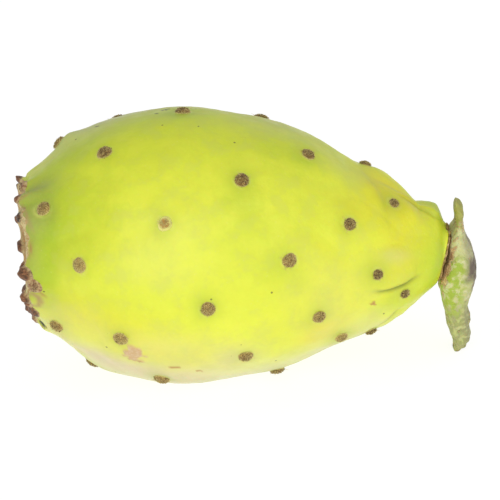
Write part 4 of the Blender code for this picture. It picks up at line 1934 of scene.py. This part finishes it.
@dataclass
class Bristles:
    """Stray pale bristles that stick out of the cushions."""

    cushions: FeltCushions
    each: int = 6
    fresh_each: int = 14
    lengths: tuple[float, float] = (0.6 * MM, 1.3 * MM)
    fresh_length: float = 0.5
    thickness: float = 0.05 * MM
    girths: tuple[float, ...] = (0.0, 1.0, 0.85, 0.6, 0.0)
    root_height: float = 0.2 * MM
    sides: int = 3

    def build(self) -> Piece:
        """Builds the bristles as thin curved spikes.

        Formula: each starts inside its cushion at a random place, leans away from the middle and
        bends a little further over towards its tip.

        Returns:
            The piece.
        """
        form = self.cushions.skin.form
        counts = [self.fresh_each if areole.felt is Felt.FRESH else self.each for areole in form.areoles]
        owner = np.repeat(np.arange(len(form.areoles)), counts)
        stand = self.cushions.stand().picked(owner)
        radius = each(form.areoles, "radius")[owner]
        draw = np.random.default_rng(33)
        turn = draw.uniform(0, 2 * math.pi, len(owner))[:, None, None]
        fresh = np.array([areole.felt is Felt.FRESH for areole in form.areoles])[owner]
        long = (draw.uniform(*self.lengths, len(owner)) * np.where(fresh, self.fresh_length, 1.0))[:, None]
        steps = np.linspace(0, 1, len(self.girths))
        bend = draw.uniform(0.5, 1.2, len(owner))[:, None] + 0.35 * steps
        out = (radius * draw.uniform(0.3, 0.95, len(owner)))[:, None] + long * steps * np.sin(bend)
        height = self.root_height + long * steps * np.cos(bend)
        girth = (self.thickness * np.array(self.girths))[:, None]
        psi = 2 * math.pi * np.arange(self.sides) / self.sides
        sideways = girth * np.cos(psi)
        x = out[..., None] * np.cos(turn) - sideways * np.sin(turn)
        y = out[..., None] * np.sin(turn) + sideways * np.cos(turn)
        rings = form.keep_in(stand.put(x, y, height[..., None] + girth * np.sin(psi)))
        grid = Grid("areole_bristles")
        grid.add_rings(rings, {"tone": np.broadcast_to(steps[:, None], rings.shape[:3])})
        return grid.build()


@dataclass
class PadHeel:
    """The slice of pad that came away with the fruit."""

    form: FruitForm
    outline_mm: Table = (
        (-10.2, 1, 0.1), (-10, 1.35, 0.3), (-9.5, 2.05, 0.7), (-8.7, 2.55, 0.9), (-7.3, 2.8, 0.9),
        (-6.2, 2.85, 0.8), (-5.2, 2.9, 0.85), (-4.7, 2.95, 0.95), (-3.8, 2.85, 1.1), (-2.6, 2.6, 1.55),
        (-1.1, 2.7, 2.1), (0.6, 3.05, 2.55), (3.8, 3.1, 3.4), (6.6, 2.45, 3.75), (9.1, 2.35, 2.95),
        (11.7, 2.45, 2.45), (13, 2.7, 2.35), (15.1, 3, 2.3), (16.8, 3.2, 2.1), (18.7, 3.75, 1.8),
        (20, 3.7, 1.4), (20.9, 3.4, 1.05), (21.6, 2.9, 0.6), (22.2, 2.7, 0.35), (24, 2.7, 0.3),
    )
    middle: float = 6.9 * MM
    half_length: float = 17.1 * MM
    half_width: float = 7.6 * MM
    edge_power: float = 0.62
    tip_power: float = 1.25
    tip_bluntness: float = 4.5
    joint_gap: float = 0.3 * MM
    outline_steps: int = 30
    mark_depths: tuple[float, ...] = (17.6 * MM, 20.4 * MM, 13.6 * MM)
    mark_setback: float = 1.5 * MM
    rows: int = 200
    sides: int = 160

    def build(self) -> Piece:
        """Builds the heel.

        Formula: the rings of a sphere drawn out along the slice; each is a superellipse whose
        thickness is read from the outline and whose width falls towards both tips. Lumps and
        wrinkles are added, then it is cut off flat at the joint and laid down.

        Returns:
            The piece.
        """
        theta, across = grid_of(np.linspace(math.pi, 0, self.rows), round_about(self.sides))
        ring = np.sin(theta)
        depth = self.middle - np.cos(theta) * self.half_length
        smooth = rounded_path(self.outline_mm, self.outline_steps) * MM
        middles, halves = (np.interp(depth, smooth[:, 0], smooth[:, k]) for k in (1, 2))
        thin = halves * np.minimum(1.0, self.tip_bluntness * ring)
        wide = self.half_width * ring**self.tip_power
        back, side = np.cos(across), np.sin(across)
        x = thin * np.sign(back) * np.abs(back) ** self.edge_power
        y = wide * np.sign(side) * np.abs(side) ** self.edge_power
        upright = np.stack([x, y, -depth], -1)
        size = np.maximum(np.hypot(thin, 0.4 * wide), 0.5 * MM)
        swell = 1 + self.relief(upright) * np.minimum(ring * 3, 1) / size
        start = self.form.length + self.joint_gap
        ahead = start + middles + x * np.minimum(swell, 1.12)
        straight = np.stack([ahead, y * np.minimum(swell, 1.0), -depth], -1)
        slant = math.radians(self.form.base_slant_deg)
        out = np.array([math.cos(slant), 0.0, -math.sin(slant)])
        past = (straight - np.array([start, 0.0, 0.0])) @ out
        straight -= np.minimum(past, 0.0)[..., None] * out
        rings = self.form.keep_in(self.form.press_on_floor(self.form.lie_down(straight)))
        rings[0], rings[-1] = rings[0].mean(axis=0), rings[-1].mean(axis=0)

        paint = self.paint(upright, x / np.maximum(halves, 0.3 * MM), past)
        grid = Grid("pad_heel_flesh")
        grid.add_rings(rings[None], {key: value[None] for key, value in paint.items()})
        return grid.build()

    def relief(self, upright: Array) -> Array:
        """Lumps all over the heel, and wrinkles across it that grow towards its lower end.

        Formula: soft random waves, plus a sine of the depth that more waves push to and fro.

        Args:
            upright: Points of the upright heel.

        Returns:
            The height at each point, in metres.
        """
        depth = -upright[..., 2]
        low_end = ease(depth, 11 * MM, 17 * MM)
        lumps = 0.2 * MM * waves(upright, 4.5 * MM, seed=3) + 0.09 * MM * waves(upright, 1.6 * MM, seed=6)
        bent = np.sin(depth / MM * 3.4 + 1.5 * waves(upright, 6 * MM, seed=9))
        return lumps + (0.25 + low_end) * 0.13 * MM * bent

    def paint(self, upright: Array, share: Array, past: Array) -> dict[str, Array]:
        """What is painted on the heel.

        Args:
            upright: Points of the upright heel.
            share: How far out each point is: 1 on the outer face, -1 on the fruit's side.
            past: How far past the joint's plane each point lies.

        Returns:
            How strong each of its colours is at each point, from 0 to 1.
        """
        y, depth = upright[..., 1], -upright[..., 2]
        outer = ease(share, 0.0, 0.7)
        ragged = 0.25 * waves(upright, 1.5 * MM, seed=41)
        wander = 1.4 * MM * waves(upright, 4.5 * MM, seed=43)
        band = bell(depth - 3.4 * MM + wander, (4.7 - 0.3 * np.abs(y) / MM) * MM)
        joint = bell(depth - 2.0 * MM, 4.8 * MM) * ease(past, 2.1 * MM, 1.0 * MM)
        root = 0.8 * bell(depth + 5.5 * MM, 0.3 * MM) + bell(depth + 4.7 * MM, 0.6 * MM) * outer
        marks = sum(
            bell(np.hypot(depth - place, y + self.mark_setback), 0.7 * MM) for place in self.mark_depths
        )
        fading = (1 - 0.8 * ease(depth, 10 * MM, 15 * MM)) * (1 - 0.75 * outer)
        return {
            "green": ease(depth, -1.5 * MM, 2.0 * MM) * fading,
            "olive": 1 - ease(depth + 2 * ragged * MM, -6.2 * MM, -4.8 * MM),
            "grey": np.clip(ease(share, 0.0, 0.8) * (1.3 * band + 0.15), 0, 1),
            "dull": 0.95 * ease(depth, 8 * MM, 13 * MM),
            "cork": np.clip(joint * 1.1 + ragged + 0.8 * root + 0.6 * marks, 0, 1),
        }


@dataclass
class CorkJoint:
    """The crumbly ring of cork between the fruit's base and the heel."""

    form: FruitForm
    rim_station: float = 84.15 * MM
    half_depth: float = 0.24 * MM
    half_height: float = 0.75 * MM
    inset: float = 0.9 * MM
    rings: int = 200
    sides: int = 14

    def build(self) -> Piece:
        """Builds the ring of cork.

        Formula: a small oval carried round the base's rim, with its size changed by random waves.
        It starts and ends in two poles that meet.

        Returns:
            The piece.
        """
        turn, psi = grid_of(np.linspace(0, 2 * math.pi, self.rings), round_about(self.sides))
        form = self.form
        rim = form.place(form.run_at(np.full(turn.shape, self.rim_station)), turn)
        ray = ray_at(turn)
        outwards, along = form.turned(ray), form.turned(np.array([1.0, 0.0, 0.0]))
        rough = ray * self.half_height * 12
        size = 1 + 0.4 * waves(rough, 3.0 * MM, seed=2)
        size += 0.2 * waves(rough + psi[..., None] * MM, 1.1 * MM, seed=5)
        size = np.clip(size, 0.25, 1.7)
        size[0] = size[-1] = 0.0
        reach = self.half_height * size * np.sin(psi) - self.inset
        ahead = self.half_depth * size * np.cos(psi) + self.half_depth
        rings = rim + outwards * reach[..., None] + along * ahead[..., None]
        grid = Grid("joint_cork")
        grid.add_rings(form.keep_in(rings)[None])
        return grid.build()


# Stage


@dataclass(frozen=True)
class SoftBox:
    """A square soft light that faces the fruit, in metres and watts."""

    name: str
    place: tuple[float, float, float]
    size: float
    power: float
    aim: tuple[float, float, float] = (0.0, 0.0, 0.025)

    def build(self) -> None:
        """Adds the light to the scene."""
        data = bpy.data.lights.new(self.name, "AREA")
        data.size, data.energy = self.size, self.power
        light = bpy.data.objects.new(self.name, data)
        light.location = self.place
        way = Vector(self.aim) - Vector(self.place)
        light.rotation_euler = way.to_track_quat("-Z", "Y").to_euler()
        bpy.context.scene.collection.objects.link(light)


@dataclass(frozen=True)
class Studio:
    """A pale floor, soft lights and the camera of the photograph."""

    form: FruitForm
    pixels: float = 500.0
    pixels_per_metre: float = 5000.0
    start_pixel: tuple[float, float] = (22.0, 245.0)
    elevation_deg: float = 20.0
    distance: float = 2.0
    sensor_mm: float = 36.0
    view_end: float = 20.0
    floor_size: float = 6.0
    floor_drop: float = 0.02 * MM
    floor_pale: Colour = (145, 145, 145)
    floor_glow: float = 0.83
    sky: float = 0.62
    soft_boxes: tuple[SoftBox, ...] = (
        SoftBox("key", (-0.15, -1.0, 0.4), size=0.8, power=3.35),
        SoftBox("fill", (0.6, -0.8, 0.5), size=0.6, power=1.4),
    )

    def camera(self) -> None:
        """Sets the camera: level with the tipped axis in the picture, which fills its width."""
        lift = math.radians(self.elevation_deg)
        right, up = Vector((1, 0, 0)), Vector((0, math.sin(lift), math.cos(lift)))
        back = Vector((0, -math.cos(lift), math.sin(lift)))
        tip = math.radians(self.form.tip_deg)
        axis = Vector((math.cos(tip), 0, -math.sin(tip)))
        roll = math.atan2(axis.dot(up), axis.dot(right))
        right, up = right * math.cos(roll) + up * math.sin(roll), up * math.cos(roll) - right * math.sin(roll)
        shift = (self.pixels / 2 - self.start_pixel[0], self.start_pixel[1] - self.pixels / 2)
        target = Vector(self.form.start) + (right * shift[0] + up * shift[1]) / self.pixels_per_metre
        data = bpy.data.cameras.new("camera")
        data.sensor_width = self.sensor_mm
        data.lens = self.sensor_mm * self.distance * self.pixels_per_metre / self.pixels
        data.clip_end = self.view_end
        camera = bpy.data.objects.new("camera", data)
        turned = Matrix((right, up, back)).transposed().to_4x4()
        camera.matrix_world = Matrix.Translation(target + back * self.distance) @ turned
        bpy.context.scene.collection.objects.link(camera)
        bpy.context.scene.camera = camera

    def floor(self) -> None:
        """Lays the pale floor."""
        half = self.floor_size / 2
        mesh = bpy.data.meshes.new("floor")
        corners = ((-half, -half), (half, -half), (half, half), (-half, half))
        mesh.from_pydata([(x, y, -self.floor_drop) for x, y in corners], [], [(0, 1, 2, 3)])
        floor = bpy.data.objects.new("floor", mesh)
        bpy.context.scene.collection.objects.link(floor)
        writer, shader, material = Gloss(roughness=0.9, specular=0.1).material("pale_floor")
        pale = linear(self.floor_pale)
        writer.fill(shader, Base_Color=pale, Emission_Color=WHITE, Emission_Strength=self.floor_glow)
        mesh.materials.append(material)

    def light(self) -> None:
        """Lights the scene: a white surround and soft boxes in front."""
        world = bpy.data.worlds.new("studio")
        world.use_nodes = True
        background = world.node_tree.nodes["Background"]
        NodeWriter(world.node_tree).fill(background, Color=WHITE, Strength=self.sky)
        bpy.context.scene.world = world
        for soft_box in self.soft_boxes:
            soft_box.build()

    def build(self) -> None:
        """Builds the stage."""
        self.floor()
        self.light()
        self.camera()
        bpy.context.scene.view_settings.view_transform = "Standard"


def main() -> None:
    """Builds and dresses each piece, fastens it to the frame, and sets the stage."""
    logging.basicConfig(level=logging.INFO, format="%(name)s: %(message)s")
    effects = Effects()
    form = FruitForm()
    skin = FruitSkin(form)
    cushions = FeltCushions(skin)

    skin_piece = skin.build()
    SkinFinish().dress(skin_piece, effects)
    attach(skin_piece, "root")
    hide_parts("fruit")

    felt_piece = cushions.build()
    FeltFinish().dress(felt_piece)
    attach(felt_piece, "root")

    nub_piece = CrownNubs(skin).build()
    NubFinish().dress(nub_piece)
    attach(nub_piece, "root")

    bristle_piece = Bristles(cushions).build()
    BristleFinish().dress(bristle_piece)
    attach(bristle_piece, "root")

    heel_piece = PadHeel(form).build()
    PadFinish().dress(heel_piece, effects)
    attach(heel_piece, "root")
    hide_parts("pad_heel")

    cork_piece = CorkJoint(form).build()
    CorkFinish().dress(cork_piece, effects)
    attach(cork_piece, "root")

    Studio(form).build()


if __name__ == "__main__":
    main()
